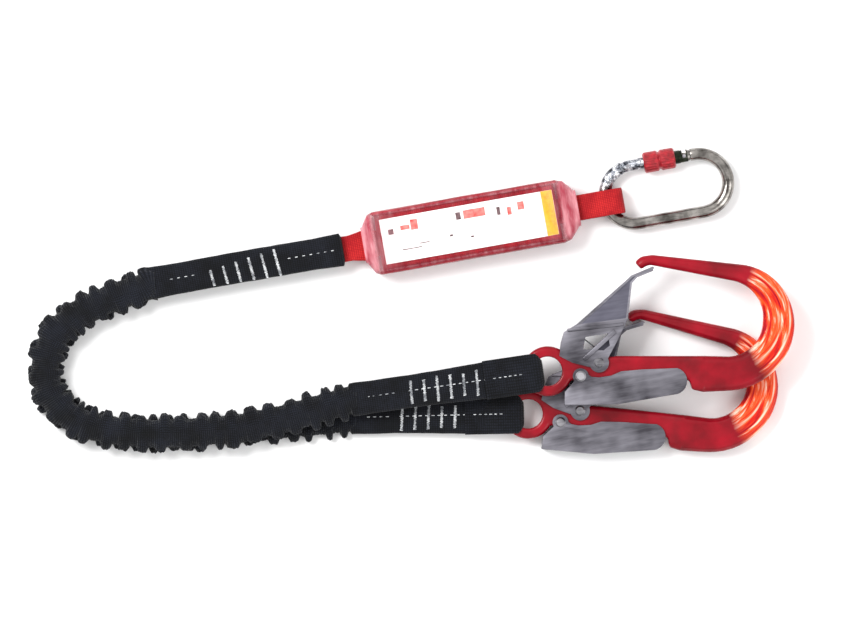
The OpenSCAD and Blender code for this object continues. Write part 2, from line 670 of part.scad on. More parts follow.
at_hook_1() gate_spring();  // hook_1_gate_spring
at_hook_1() hook_lever();  // hook_1_lever
at_hook_1() rivet(lever_pivot);  // hook_1_lever_rivet
at_hook_1() lever_spring();  // hook_1_lever_spring
at_hook_2() hook_body();  // hook_2_body
at_hook_2() hook_gate();  // hook_2_gate
at_hook_2() rivet(gate_pivot);  // hook_2_gate_rivet
at_hook_2() gate_spring();  // hook_2_gate_spring
at_hook_2() hook_lever();  // hook_2_lever
at_hook_2() rivet(lever_pivot);  // hook_2_lever_rivet
at_hook_2() lever_spring();  // hook_2_lever_spring
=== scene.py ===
"""Twin leg shock absorbing lanyard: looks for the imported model.

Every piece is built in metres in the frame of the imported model, rides on one of its bodies and,
where it stands for plain solids, replaces them.
"""

import logging
import math
import random
from collections.abc import Callable, Iterator
from contextlib import contextmanager
from dataclasses import dataclass, field
from enum import Enum

import bpy
from mathutils import Matrix, Vector, noise


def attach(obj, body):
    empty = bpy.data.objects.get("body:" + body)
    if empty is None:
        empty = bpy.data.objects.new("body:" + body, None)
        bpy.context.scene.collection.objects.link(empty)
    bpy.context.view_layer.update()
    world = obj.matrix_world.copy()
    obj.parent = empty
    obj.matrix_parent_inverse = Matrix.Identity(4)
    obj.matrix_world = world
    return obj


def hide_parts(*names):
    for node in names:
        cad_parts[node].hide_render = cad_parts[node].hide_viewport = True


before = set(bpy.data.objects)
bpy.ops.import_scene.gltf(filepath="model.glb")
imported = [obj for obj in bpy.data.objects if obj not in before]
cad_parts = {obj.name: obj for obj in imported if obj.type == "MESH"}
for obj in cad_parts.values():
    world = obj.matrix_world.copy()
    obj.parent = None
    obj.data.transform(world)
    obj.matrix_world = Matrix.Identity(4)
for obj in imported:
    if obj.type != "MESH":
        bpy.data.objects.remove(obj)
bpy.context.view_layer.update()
LOG = logging.getLogger("lanyard")
MM = 0.001

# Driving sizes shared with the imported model, in millimetres
PACK_X0, PACK_X1 = -78.0, 74.0
PACK_W, PACK_H = 52.0, 28.0
TAPER_LEG, TAPER_HARNESS = 10.0, 14.0
TONGUE_Z0, PLY = 10.4, 2.4
SLEEVE_W, SLEEVE_T = 27.0, 7.0
SLEEVE_X0, SLEEVE_X1 = -262.0, -106.0
STRAP_W = 21.0
EYE_1, TURN_1 = (41.5, -127.3, 29.2), -10.0
EYE_2, TURN_2 = (20.0, -159.2, 9.6), -16.0

# Routes of the two elastic legs, from the absorber to the hook sleeves: they lie one on the other
# for most of their length, then part towards their own hooks
BOTH_LEGS = [
    (-275, -3), (-292, -5), (-310, -9), (-327, -14), (-342, -22), (-353, -32), (-360, -44), (-364, -58),
    (-363, -72), (-358, -85), (-349, -97), (-336, -106), (-319, -113), (-298, -119), (-278, -123),
    (-257, -126), (-236, -128), (-216, -130)]
LEG_1_Z, LEG_2_Z = 18.7, 6.2
LEG_1_ROUTE = [
    (-262.2, 0, LEG_1_Z), (-267, 0, LEG_1_Z), *((x, y, LEG_1_Z) for x, y in BOTH_LEGS),
    (-195, -129, LEG_1_Z), (-175, -128, LEG_1_Z), (-154, -126, LEG_1_Z), (-135, -124, LEG_1_Z),
    (-121, -122.55, 18.6), (-116.2, -122.69, 18.6)]
LEG_2_ROUTE = [
    (-262.2, 0, 6.9), (-267, 0, 6.9), *((x, y, LEG_2_Z) for x, y in BOTH_LEGS),
    (-196, -132, LEG_2_Z), (-176, -133, LEG_2_Z), (-156, -135, LEG_2_Z), (-137, -136, LEG_2_Z),
    (-123.74, -137.35, LEG_2_Z), (-119, -138.07, LEG_2_Z)]


# ---------------------------------------------------------------- colour and node helpers
def srgb(code: str) -> tuple[float, float, float, float]:
    """Turn an sRGB hex colour into linear RGBA.

    Args:
        code: six hex digits, with or without a leading hash.

    Returns:
        The linear colour with alpha 1.
    """
    code = code.lstrip("#")
    parts = [int(code[i:i + 2], 16) / 255 for i in (0, 2, 4)]
    linear = [p / 12.92 if p <= 0.04045 else ((p + 0.055) / 1.055) ** 2.4 for p in parts]
    return (linear[0], linear[1], linear[2], 1.0)


def feed(owner: bpy.types.ID, node: bpy.types.Node, inputs: dict) -> None:
    """Feed a node's inputs, each from another node's output or with a constant.

    Args:
        owner: the material or world whose tree holds the node.
        node: the node to feed.
        inputs: an output or a constant, by the input's name or number.
    """
    for key, value in inputs.items():
        if isinstance(value, bpy.types.NodeSocket):
            owner.node_tree.links.new(value, node.inputs[key])
        else:
            node.inputs[key].default_value = value


def add_node(owner: bpy.types.ID, kind: str, settings: dict | None = None,
             inputs: dict | None = None) -> bpy.types.Node:
    """Add one node with its settings and its inputs.

    Args:
        owner: the material or world whose tree takes the node.
        kind: the node's type name.
        settings: the node's properties by name.
        inputs: an output or a constant, by the input's name or number.

    Returns:
        The new node.
    """
    node = owner.node_tree.nodes.new(kind)
    for key, value in (settings or {}).items():
        setattr(node, key, value)
    feed(owner, node, inputs or {})
    return node


def new_material(name: str) -> tuple[bpy.types.Material, bpy.types.NodeSocket]:
    """Make a material; returns it and the object coordinates of the piece that wears it, in metres."""
    material = bpy.data.materials.new(name)
    material.use_nodes = True
    return material, add_node(material, "ShaderNodeTexCoord").outputs["Object"]


def surface(material: bpy.types.Material, inputs: dict) -> bpy.types.Material:
    """Feed the material's shader and hand the material back."""
    feed(material, material.node_tree.nodes["Principled BSDF"], inputs)
    return material


def ramp(material: bpy.types.Material, source: bpy.types.NodeSocket, low: float, high: float,
         colours: tuple[str, ...]) -> bpy.types.NodeSocket:
    """Spread hex colours over a grey input.

    Args:
        material: the material.
        source: the grey input.
        low: where the first colour sits.
        high: where the last colour sits.
        colours: hex colours in order.

    Returns:
        The colour output.
    """
    node = add_node(material, "ShaderNodeValToRGB", {}, {"Fac": source})
    stops = node.color_ramp.elements
    while len(stops) < len(colours):
        stops.new(0.5)
    for i, colour in enumerate(colours):
        stops[i].position = low + (high - low) * i / (len(colours) - 1)
        stops[i].color = srgb(colour)
    return node.outputs["Color"]


def speckle(owner: bpy.types.ID, place: bpy.types.NodeSocket, scale: float | tuple[float, float, float],
            detail: float, **more: float) -> bpy.types.NodeSocket:
    """Add one layer of noise.

    Args:
        owner: the material or world.
        place: the coordinates it follows.
        scale: blotches to the metre, or that number along each axis to draw them out into lines.
        detail: how many finer layers lie on it.
        more: further inputs of the noise.

    Returns:
        The grey output.
    """
    if isinstance(scale, tuple):
        place = add_node(owner, "ShaderNodeMapping", {}, {"Vector": place, "Scale": scale}).outputs[0]
        scale = 1.0
    inputs = {"Vector": place, "Scale": scale, "Detail": detail, **more}
    return add_node(owner, "ShaderNodeTexNoise", {}, inputs).outputs["Fac"]


def reckon(owner: bpy.types.ID, operation: str, *terms: bpy.types.NodeSocket | float,
           clamp: bool = False) -> bpy.types.NodeSocket:
    """Work out one grey value from outputs and numbers."""
    settings = {"operation": operation, "use_clamp": clamp}
    return add_node(owner, "ShaderNodeMath", settings, dict(enumerate(terms))).outputs[0]


def rescale(material: bpy.types.Material, source: bpy.types.NodeSocket, low: float, high: float,
            to_low: float = 0.0, to_high: float = 1.0) -> bpy.types.NodeSocket:
    """Map the grey range from low to high onto the range from to_low to to_high."""
    return add_node(material, "ShaderNodeMapRange", {}, {
        "Value": source, "From Min": low, "From Max": high, "To Min": to_low, "To Max": to_high}).outputs[0]


def blend(material: bpy.types.Material, amount: bpy.types.NodeSocket, under: bpy.types.NodeSocket,
          over: bpy.types.NodeSocket) -> bpy.types.NodeSocket:
    """Mix one colour into another by a grey amount."""
    first_colour, second_colour, mixed_colour = 6, 7, 2  # the colour sockets share their names with others
    inputs = {"Factor": amount, first_colour: under, second_colour: over}
    return add_node(material, "ShaderNodeMix", {"data_type": "RGBA"}, inputs).outputs[mixed_colour]


def relief(material: bpy.types.Material, height: bpy.types.NodeSocket, strength: float, depth: float,
           under: bpy.types.NodeSocket | None = None) -> bpy.types.NodeSocket:
    """Raise the surface by a grey height, up to a depth in metres, over another relief if there is one."""
    inputs = {"Height": height, "Strength": strength, "Distance": depth}
    if under is not None:
        inputs["Normal"] = under
    return add_node(material, "ShaderNodeBump", {}, inputs).outputs["Normal"]


def own_map(material: bpy.types.Material, name: str) -> bpy.types.NodeSocket:
    """The piece's own map of that name, in metres."""
    return add_node(material, "ShaderNodeUVMap", {"uv_map": name}).outputs["UV"]


def painted(material: bpy.types.Material, name: str) -> bpy.types.NodeSocket:
    """The grey value that the piece's vertices carry under a name."""
    return add_node(material, "ShaderNodeAttribute", {"attribute_name": name}).outputs["Fac"]


def wave_scale(period_mm: float) -> float:
    """Scale of a Wave texture whose bands repeat every period_mm on coordinates in metres."""
    return math.pi / 10 / (period_mm * MM)


# ---------------------------------------------------------------- finishes
@dataclass(frozen=True)
class WovenPolyester:
    """Woven polyester webbing: matt, with ribs of yarn both ways and a faint sheen at the edges."""
    name: str
    dark: str
    light: str
    yarn_mm: float = 2.0
    fuzz_mm: float = 3.0
    bump: float = 0.6
    sheen: float = 0.2
    soiling: float = 60.0

    def material(self) -> bpy.types.Material:
        """Build the finish on the piece's map along and across its strap."""
        material, place = new_material(self.name)
        # the real yarns are about half this pitch: drawn coarser so that the ribs show
        ribs = [add_node(material, "ShaderNodeTexWave", {"bands_direction": way}, {
                    "Vector": own_map(material, "strap"), "Scale": wave_scale(pitch), "Distortion": bend,
                    "Detail": 1.0}).outputs["Fac"]
                for way, pitch, bend in (("X", self.yarn_mm, 0.6), ("Y", self.yarn_mm * 0.8, 0.4))]
        fuzz = speckle(material, place, 1 / (self.fuzz_mm * MM), 6.0, Roughness=0.7)
        height = reckon(material, "ADD", reckon(material, "MULTIPLY", *ribs), fuzz)
        tone = reckon(material, "MULTIPLY", height, speckle(material, place, self.soiling, 3.0))
        return surface(material, {
            "Base Color": ramp(material, tone, 0.22, 0.75, (self.dark, self.light)),
            "Normal": relief(material, height, self.bump, 0.6 * MM),
            "Roughness": 0.85, "Specular IOR Level": 0.15,
            "Sheen Weight": self.sheen, "Sheen Roughness": 0.5})


@dataclass(frozen=True)
class ForgedLacquer:
    """Red lacquer over forged steel: glossy and dark, with painted highlight streaks of orange and white
    along the bow.
    """
    name: str = "red lacquer on forged steel"
    deep: str = "6a0612"
    body: str = "9a0a1e"
    # colours of the painted highlight along the bow, from red through orange to near white
    bow_highlight: str = "d0240f"
    orange: str = "ee5a28"
    bright: str = "ffd9c4"
    mottle: float = 45.0
    # streaks along the bar, 40 mm long and 2 mm wide: they set the roughness of the polish and the painted
    # highlight on the bow
    highlight_and_polish_streaks: tuple[float, float, float] = (20.0, 210.0, 1.0)

    def material(self) -> bpy.types.Material:
        """Build the finish on the hook's map along its bar and its attribute of where the highlight is
        painted on the bow.
        """
        material, place = new_material(self.name)
        streaks = speckle(material, own_map(material, "bar"), self.highlight_and_polish_streaks, 5.0,
                          Roughness=0.6, Distortion=0.5)
        mottle = speckle(material, place, self.mottle, 4.0)
        # how much painted highlight each place takes: the bow's attribute times the streaks
        amount = reckon(material, "MULTIPLY", painted(material, "bow_highlight"), streaks, clamp=True)
        coat = ramp(material, mottle, 0.3, 0.7, (self.deep, self.body))
        # the painted highlight: the body red brightening to orange and near white along the streaks
        wear_and_highlight = ramp(material, streaks, 0.36, 0.62, (self.body, self.bow_highlight, self.orange, self.bright))
        return surface(material, {
            "Base Color": blend(material, rescale(material, amount, 0.1, 0.38), coat, wear_and_highlight),
            "Normal": relief(material, mottle, 0.12, 0.5 * MM),
            "Roughness": rescale(material, streaks, 0.3, 0.7, 0.26, 0.4),
            "Specular IOR Level": 0.15, "Coat Weight": 0.2, "Coat Roughness": 0.12})


@dataclass(frozen=True)
class PlatedSteel:
    """Plated steel: a metal with fine drawn lines and cloudy patches, scuffed where it is knocked about."""
    name: str
    dark: str
    light: str
    roughness: float
    grain: tuple[float, float, float] = (60.0, 900.0, 900.0)
    bump: float = 0.08
    cloud: float = 55.0
    worn_to: float = 0.0
    scuffs: tuple[str, str, str] = ("22252c", "888b93", "e6e7ea")
    scuff_scale: float = 260.0

    def wear(self, material: bpy.types.Material, place: bpy.types.NodeSocket) -> bpy.types.NodeSocket:
        """Where the plating is knocked about: toward low x, and on the gate's side of the oval."""
        axes = add_node(material, "ShaderNodeSeparateXYZ", {}, {"Vector": place})
        low_x = rescale(material, axes.outputs["X"], self.worn_to, self.worn_to - 0.016)
        high_y = rescale(material, axes.outputs["Y"], 0.008, 0.018)
        return reckon(material, "MULTIPLY", low_x, high_y)

    def material(self) -> bpy.types.Material:
        """Build the finish as a metal, with scuffs where worn_to is set."""
        material, place = new_material(self.name)
        lines = speckle(material, place, self.grain, 3.0, Roughness=0.6)
        clouds = speckle(material, place, self.cloud, 3.0, Roughness=0.5)
        mixed = reckon(material, "MULTIPLY_ADD", lines, 0.35, clouds)
        colour = ramp(material, mixed, 0.5, 0.85, (self.dark, self.light))
        normal = relief(material, mixed, self.bump, 0.4 * MM)
        if self.worn_to:
            wear_and_highlight = self.wear(material, place)
            scuffs = speckle(material, place, self.scuff_scale, 5.0, Roughness=0.7)
            colour = blend(material, wear_and_highlight, colour, ramp(material, scuffs, 0.4, 0.6, self.scuffs))
            normal = relief(material, reckon(material, "MULTIPLY", wear_and_highlight, scuffs), 0.9, 1.2 * MM, normal)
        return surface(material, {
            "Base Color": colour, "Normal": normal, "Metallic": 1.0,
            "Roughness": rescale(material, clouds, 0.3, 0.7, self.roughness * 0.75, self.roughness * 1.3)})


@dataclass(frozen=True)
class Enamelled:
    """Coloured coat over turned steel: even, half gloss, a little darker in the hollows."""
    name: str
    dark: str
    light: str
    roughness: float = 0.35
    mottle: float = 260.0

    def material(self) -> bpy.types.Material:
        """Build the finish as a thin coat on metal."""
        material, place = new_material(self.name)
        mottle = speckle(material, place, self.mottle, 4.0, Roughness=0.6)
        return surface(material, {
            "Base Color": ramp(material, mottle, 0.3, 0.7, (self.dark, self.light)),
            "Normal": relief(material, mottle, 0.2, 0.4 * MM),
            "Roughness": self.roughness, "Metallic": 0.25, "Coat Weight": 0.3, "Coat Roughness": 0.2})


@dataclass(frozen=True)
class ShrunkFilm:
    """Clear heat-shrunk PVC film: see-through, milky pink where it bunches, with soft wrinkles."""
    name: str = "clear shrunk PVC film"
    tint: str = "eca6ae"
    shade: str = "b84a5a"
    clear: float = 0.03
    milky: float = 0.6
    # the film's long sides: the webbing's red under them in painted shade, with lighter lines of painted
    # highlight
    rim: str = "70101a"
    rim_light: str = "a8222e"
    wrinkles: tuple[float, float, float] = (210.0, 45.0, 60.0)
    rim_lines: tuple[float, float, float] = (35.0, 500.0, 500.0)

    def material(self) -> bpy.types.Material:
        """Build the finish: cloudy by the bunched attribute; by the edge attribute, dark red for the
        webbing's red in painted shade, with lighter lines of painted highlight.
        """
        material, place = new_material(self.name)
        wrinkle = speckle(material, place, self.wrinkles, 3.0, Roughness=0.55)
        bands = ramp(material, wrinkle, 0.38, 0.66, (self.shade, self.tint))
        rim = ramp(material, speckle(material, place, self.rim_lines, 3.0), 0.3, 0.7,
                   (self.rim, self.rim_light))
        cloud = reckon(material, "MULTIPLY_ADD", painted(material, "bunched"), self.milky, self.clear)
        edge = painted(material, "edge")
        return surface(material, {
            "Base Color": blend(material, edge, bands, rim),
            "Alpha": reckon(material, "MAXIMUM", cloud, edge),
            "Normal": relief(material, wrinkle, 0.35, MM), "Roughness": 0.22, "IOR": 1.53,
            "Specular IOR Level": 0.12, "Coat Weight": 0.12, "Coat Roughness": 0.08})


@dataclass(frozen=True)
class PrintedCard:
    """Coated label card: smooth and nearly even, with a faint paper tooth."""
    name: str
    dark: str
    light: str
    tooth: float = 320.0

    def material(self) -> bpy.types.Material:
        """Build the finish."""
        material, place = new_material(self.name)
        tooth = speckle(material, place, self.tooth, 4.0)
        return surface(material, {
            "Base Color": ramp(material, tooth, 0.25, 0.6, (self.dark, self.light)),
            "Normal": relief(material, tooth, 0.05, 0.3 * MM), "Roughness": 0.45})


@dataclass(frozen=True)
class BondedThread:
    """Bonded polyester thread: slightly glossy, uneven where it has picked up dust."""
    name: str
    dark: str
    light: str
    dust: float = 190.0

    def material(self) -> bpy.types.Material:
        """Build the finish."""
        material, place = new_material(self.name)
        dust = speckle(material, place, self.dust, 4.0)
        return surface(material, {
            "Base Color": ramp(material, dust, 0.36, 0.58, (self.dark, self.light)),
            "Roughness": 0.55, "Sheen Weight": 0.15})


SHEET_GRAIN = (40.0, 300.0, 300.0)


class Finish(Enum):
    """The finishes of the lanyard."""
    # spun-dyed polyester webbing: swallows the light, so only its ribs and its edges show
    BLACK_WEBBING = WovenPolyester("black polyester webbing", "040507", "1a1d26", 1.9, 2.4, 0.7, 0.12)
    # the same yarn in a soft tube, drawn into ruffles: a finer, rougher black
    LEG_WEBBING = WovenPolyester("gathered black webbing", "030406", "1d212c", 1.7, 1.0, 1.0, 0.12)
    # dyed polyester webbing in a strong red: matt, with lighter ribs
    RED_WEBBING = WovenPolyester("red polyester webbing", "8e0f18", "cc2c2c", 1.7, 2.6, 0.5, 0.12)
    # two straps woven into one, made to tear apart in a fall: the same red, darker all over for painted shade
    # in its folds
    TEAR_WEBBING = WovenPolyester("red tear webbing", "700b16", "b8222c", 1.7, 2.6, 0.5, 0.1)
    # baked lacquer on drop-forged steel: deep red, with painted orange and white highlight streaks along the
    # bow
    LACQUER = ForgedLacquer()
    # zinc plated sheet: dull grey metal with a cloudy bloom
    PRESSED = PlatedSteel("zinc plated pressed steel", "48464c", "8c8a92", 0.5, SHEET_GRAIN, 0.1, 24.0)
    # the same sheet down in the pressed fields, darker for painted shade
    PRESSED_DARK = PlatedSteel("shaded zinc plated sheet", "42414b", "62616c", 0.5, SHEET_GRAIN, 0.1, 22.0)
    # bright nickel on a steel bar: sharp mirror-like streaks, scuffed at the nose end
    NICKEL = PlatedSteel("bright nickel plated bar", "5c5854", "b4afaa", 0.2, (120.0, 700.0, 700.0), 0.14,
                         90.0, 0.152)
    # the same nickel on the gate, turned and handled more: softer and darker
    GATE_NICKEL = PlatedSteel("nickel plated gate", "43423f", "97938e", 0.28, (90.0, 700.0, 700.0), 0.15,
                              55.0, 0.168)
    # cut thread holding old oil: nearly black green, with fine lines round it
    THREAD_STEEL = PlatedSteel("oiled dark thread", "10150f", "343b30", 0.42, (800.0, 60.0, 60.0),
                               0.35, 140.0)
    # hard drawn spring wire: plain grey with lines along it
    WIRE = PlatedSteel("drawn spring wire", "4a4a4d", "8a8a8e", 0.35)
    # turned and peened rivets: the lightest of the steels
    PIN = PlatedSteel("turned rivet steel", "77757b", "bdbbc0", 0.3)
    # thin red coat on turned, knurled steel: half gloss, a little metal in it
    SCREW_RED = Enamelled("red coat on the screw sleeve", "780c18", "b81828", 0.36)
    # heat-shrunk PVC film: clear where it lies flat, pink and milky where it bunches over the red
    FILM = ShrunkFilm()
    # coated card: an even white, a little off in its tooth
    CARD = PrintedCard("white label card", "efeeec", "fdfcfa")
    # flat yellow ink on the same card
    CARD_YELLOW = PrintedCard("yellow label end", "dca400", "f4c400")
    # red ink in a fine screen, so it reads lighter than solid red
    CARD_RED = PrintedCard("red label field", "bc2a22", "e88078")
    # small dark print, which from here is a soft grey
    CARD_GREY = PrintedCard("grey label field", "1c1012", "625053")
    # white bonded polyester thread, greyed by dust
    THREAD = BondedThread("white bonded thread", "7a7d83", "e2e4e6")
    # dark red thread, near the colour of its strap
    RED_THREAD = BondedThread("dark red bonded thread", "5e0c14", "9a1c26")

    def on(self, piece: bpy.types.Object) -> None:
        """Put this finish on a piece."""
        piece.data.materials.clear()
        piece.data.materials.append(bpy.data.materials.get(self.value.name) or self.value.material())


# ---------------------------------------------------------------- mesh helpers
def rise(value: float, start: float, length: float) -> float:
    """0 up to start, then straight up to 1 over a length, and 1 beyond it."""
    return min(1.0, max(0.0, (value - start) / length))


def smooth_path(points: list[tuple[float, float, float]], step: float) -> list[Vector]:
    """Run a smooth curve through points.

    Args:
        points: the points, in millimetres.
        step: the spacing of the points returned, in millimetres.

    Returns:
        Evenly spread points on the curve, in millimetres.
    """
    knots = [Vector(p) for p in points]
    fine: list[Vector] = []
    for i in range(len(knots) - 1):
        before = knots[max(i - 1, 0)]
        after = knots[min(i + 2, len(knots) - 1)]
        a, b = knots[i], knots[i + 1]
        for k in range(24):
            t = k / 24
            fine.append(0.5 * ((2 * a) + (b - before) * t + (2 * before - 5 * a + 4 * b - after) * t * t
                               + (3 * a - before - 3 * b + after) * t ** 3))
    fine.append(knots[-1])
    lengths = [0.0]
    for i in range(1, len(fine)):
        lengths.append(lengths[-1] + (fine[i] - fine[i - 1]).length)
    count = max(2, round(lengths[-1] / step))
    result, at = [], 0
    for k in range(count + 1):
        wanted = lengths[-1] * k / count
        while at < len(fine) - 2 and lengths[at + 1] < wanted:
            at += 1
        span = max(lengths[at + 1] - lengths[at], 1e-9)
        result.append(fine[at].lerp(fine[at + 1], (wanted - lengths[at]) / span))
    return result


def path_length(path: list[Vector]) -> float:
    """Length of a path, in the path's own unit."""
    return sum((path[i + 1] - path[i]).length for i in range(len(path) - 1))


def flat_section(width: float, height: float, sides: int, squareness: float) -> list[tuple[float, float]]:
    """Outline of a strap cut across.

    Args:
        width: full width.
        height: full height.
        sides: number of points.
        squareness: 2 for an ellipse, more for a fuller edge.

    Returns:
        The outline's points, sideways and upwards.
    """
    power = 2 / squareness
    outline = []
    for i in range(sides):
        a = 2 * math.pi * i / sides
        c, s = math.cos(a), math.sin(a)
        outline.append((math.copysign(abs(c) ** power, c) * width / 2,
                        math.copysign(abs(s) ** power, s) * height / 2))
    return outline


def sweep_mesh(name: str, path: list[Vector], section: Callable[[int, float], list[tuple[float, float]]],
               side_hint: Vector | None = None) -> bpy.types.Object:
    """Sweep a changing outline along a path, in millimetres, with a map in metres along and around it.

    Args:
        name: the piece's name.
        path: the path's points.
        section: gives the outline at a ring's number and its distance along the path.
        side_hint: the sideways direction where the path is not level.

    Returns:
        The new mesh object at the origin.
    """
    rings, along = [], [0.0]
    for i in range(1, len(path)):
        along.append(along[-1] + (path[i] - path[i - 1]).length)
    for i, point in enumerate(path):
        tangent = (path[min(i + 1, len(path) - 1)] - path[max(i - 1, 0)]).normalized()
        side = side_hint.copy() if side_hint else Vector((0, 0, 1)).cross(tangent).normalized()
        up = tangent.cross(side).normalized()
        rings.append([point + side * a + up * b for a, b in section(i, along[i])])
    sides = len(rings[0])
    around = [0.0]
    for j in range(sides):
        middle = rings[len(rings) // 2]
        around.append(around[-1] + (middle[(j + 1) % sides] - middle[j]).length)
    verts = [v * MM for ring in rings for v in ring]
    faces, maps = [], []
    for i in range(len(rings) - 1):
        for j in range(sides):
            k = (j + 1) % sides
            a, b = i * sides, (i + 1) * sides
            faces.append((a + j, a + k, b + k, b + j))
            maps.append(((along[i], around[j]), (along[i], around[j + 1]),
                         (along[i + 1], around[j + 1]), (along[i + 1], around[j])))
    last = (len(rings) - 1) * sides
    for base, order, where in ((0, range(sides - 1, -1, -1), along[0]), (last, range(sides), along[-1])):
        centre = sum((verts[base + j] for j in range(sides)), Vector()) / sides
        verts.append(centre)
        hub = len(verts) - 1
        ring = list(order)
        for n in range(sides):
            j, k = ring[n], ring[(n + 1) % sides]
            faces.append((base + j, base + k, hub))
            maps.append(((where, around[j]), (where, around[k]), (where, around[j])))
    mesh = bpy.data.meshes.new(name)
    mesh.from_pydata(verts, [], faces)
    layer = mesh.uv_layers.new(name="strap")
    for face, corners in zip(mesh.polygons, maps):
        for loop, corner in zip(face.loop_indices, corners):
            layer.data[loop].uv = (corner[0] * MM, corner[1] * MM)
    mesh.shade_smooth()
    return new_object(name, mesh)


def new_object(name: str, data: bpy.types.ID) -> bpy.types.Object:
    """Put new data into the scene as an object at the origin."""
    piece = bpy.data.objects.new(name, data)
    bpy.context.scene.collection.objects.link(piece)
    return piece


def only(piece: bpy.types.Object) -> None:
    """Deselect everything, then select this piece and make it active."""
    bpy.ops.object.select_all(action="DESELECT")
    piece.select_set(True)
    bpy.context.view_layer.objects.active = piece


@contextmanager
def editing() -> Iterator[None]:
    """Work on the active mesh in edit mode."""
    bpy.ops.object.mode_set(mode="EDIT")
    yield
    bpy.ops.object.mode_set(mode="OBJECT")


def primitive(add: Callable, name: str, middle: Vector, size: tuple[float, float, float],
              turn: float = 0.0) -> bpy.types.Object:
    """Add a cube or a plane with its place already in its mesh, so that the object sits at the origin.

    Args:
        add: the operator that adds it at a size of 1.
        name: the piece's name.
        middle: its middle, in millimetres.
        size: its length, width and height, in millimetres.
        turn: its turn about the upright, in radians.

    Returns:
        The new piece.
    """
    bpy.ops.object.select_all(action="DESELECT")
    add(size=1, location=middle * MM, rotation=(0, 0, turn))
    piece = bpy.context.active_object
    piece.name = piece.data.name = name
    piece.scale = [length * MM for length in size]
    only(piece)
    bpy.ops.object.transform_apply(location=True, rotation=True, scale=True)
    return piece


def add_modifier(piece: bpy.types.Object, kind: str, **settings) -> None:
    """Add a modifier and apply it.

    Args:
        piece: the piece to change.
        kind: the modifier's type.
        settings: the modifier's properties.
    """
    only(piece)
    modifier = piece.modifiers.new(kind.title(), kind)
    for key, value in settings.items():
        setattr(modifier, key, value)
    bpy.ops.object.modifier_apply(modifier=modifier.name)


def break_edges(piece: bpy.types.Object, edge: float, segments: int) -> None:
    """Round a piece's sharp edges by a width in millimetres and shade the rest smooth."""
    sharp = math.radians(35)
    add_modifier(piece, "BEVEL", width=edge * MM, segments=segments, limit_method="ANGLE",
                 angle_limit=sharp, use_clamp_overlap=True)
    only(piece)
    bpy.ops.object.shade_smooth_by_angle(angle=sharp)


def copy_of_node(node: str, name: str) -> bpy.types.Object:
    """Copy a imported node's mesh into a new piece and merge its loose triangles.

    Args:
        node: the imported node.
        name: the new piece's name.

    Returns:
        The new piece, at the origin.
    """
    piece = new_object(name, bpy.data.objects[node].data.copy())
    only(piece)
    with editing():
        bpy.ops.mesh.select_all(action="SELECT")
        bpy.ops.mesh.remove_doubles(threshold=2e-6)
        bpy.ops.mesh.dissolve_limited(angle_limit=math.radians(1.0))
    return piece


def keep_packed(body: str, finishes: dict[str, Finish]) -> None:
    """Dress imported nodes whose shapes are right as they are, by what follows the body's name."""
    for part, finish in finishes.items():
        finish.on(bpy.data.objects[f"{body}_{part}"])
        LOG.info("%s_%s keeps its packed shape", body, part)


def settle(piece: bpy.types.Object, body: str, slot: str, finish: Finish, *nodes: str) -> bpy.types.Object:
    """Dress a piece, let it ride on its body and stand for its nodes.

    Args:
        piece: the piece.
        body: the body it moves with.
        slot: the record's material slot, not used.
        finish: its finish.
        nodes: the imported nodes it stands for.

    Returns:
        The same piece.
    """
    finish.on(piece)
    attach(piece, body)
    if nodes:
        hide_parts(*nodes)
    LOG.info("%s rides on %s, %d faces", piece.name, body, len(piece.data.polygons))
    return piece


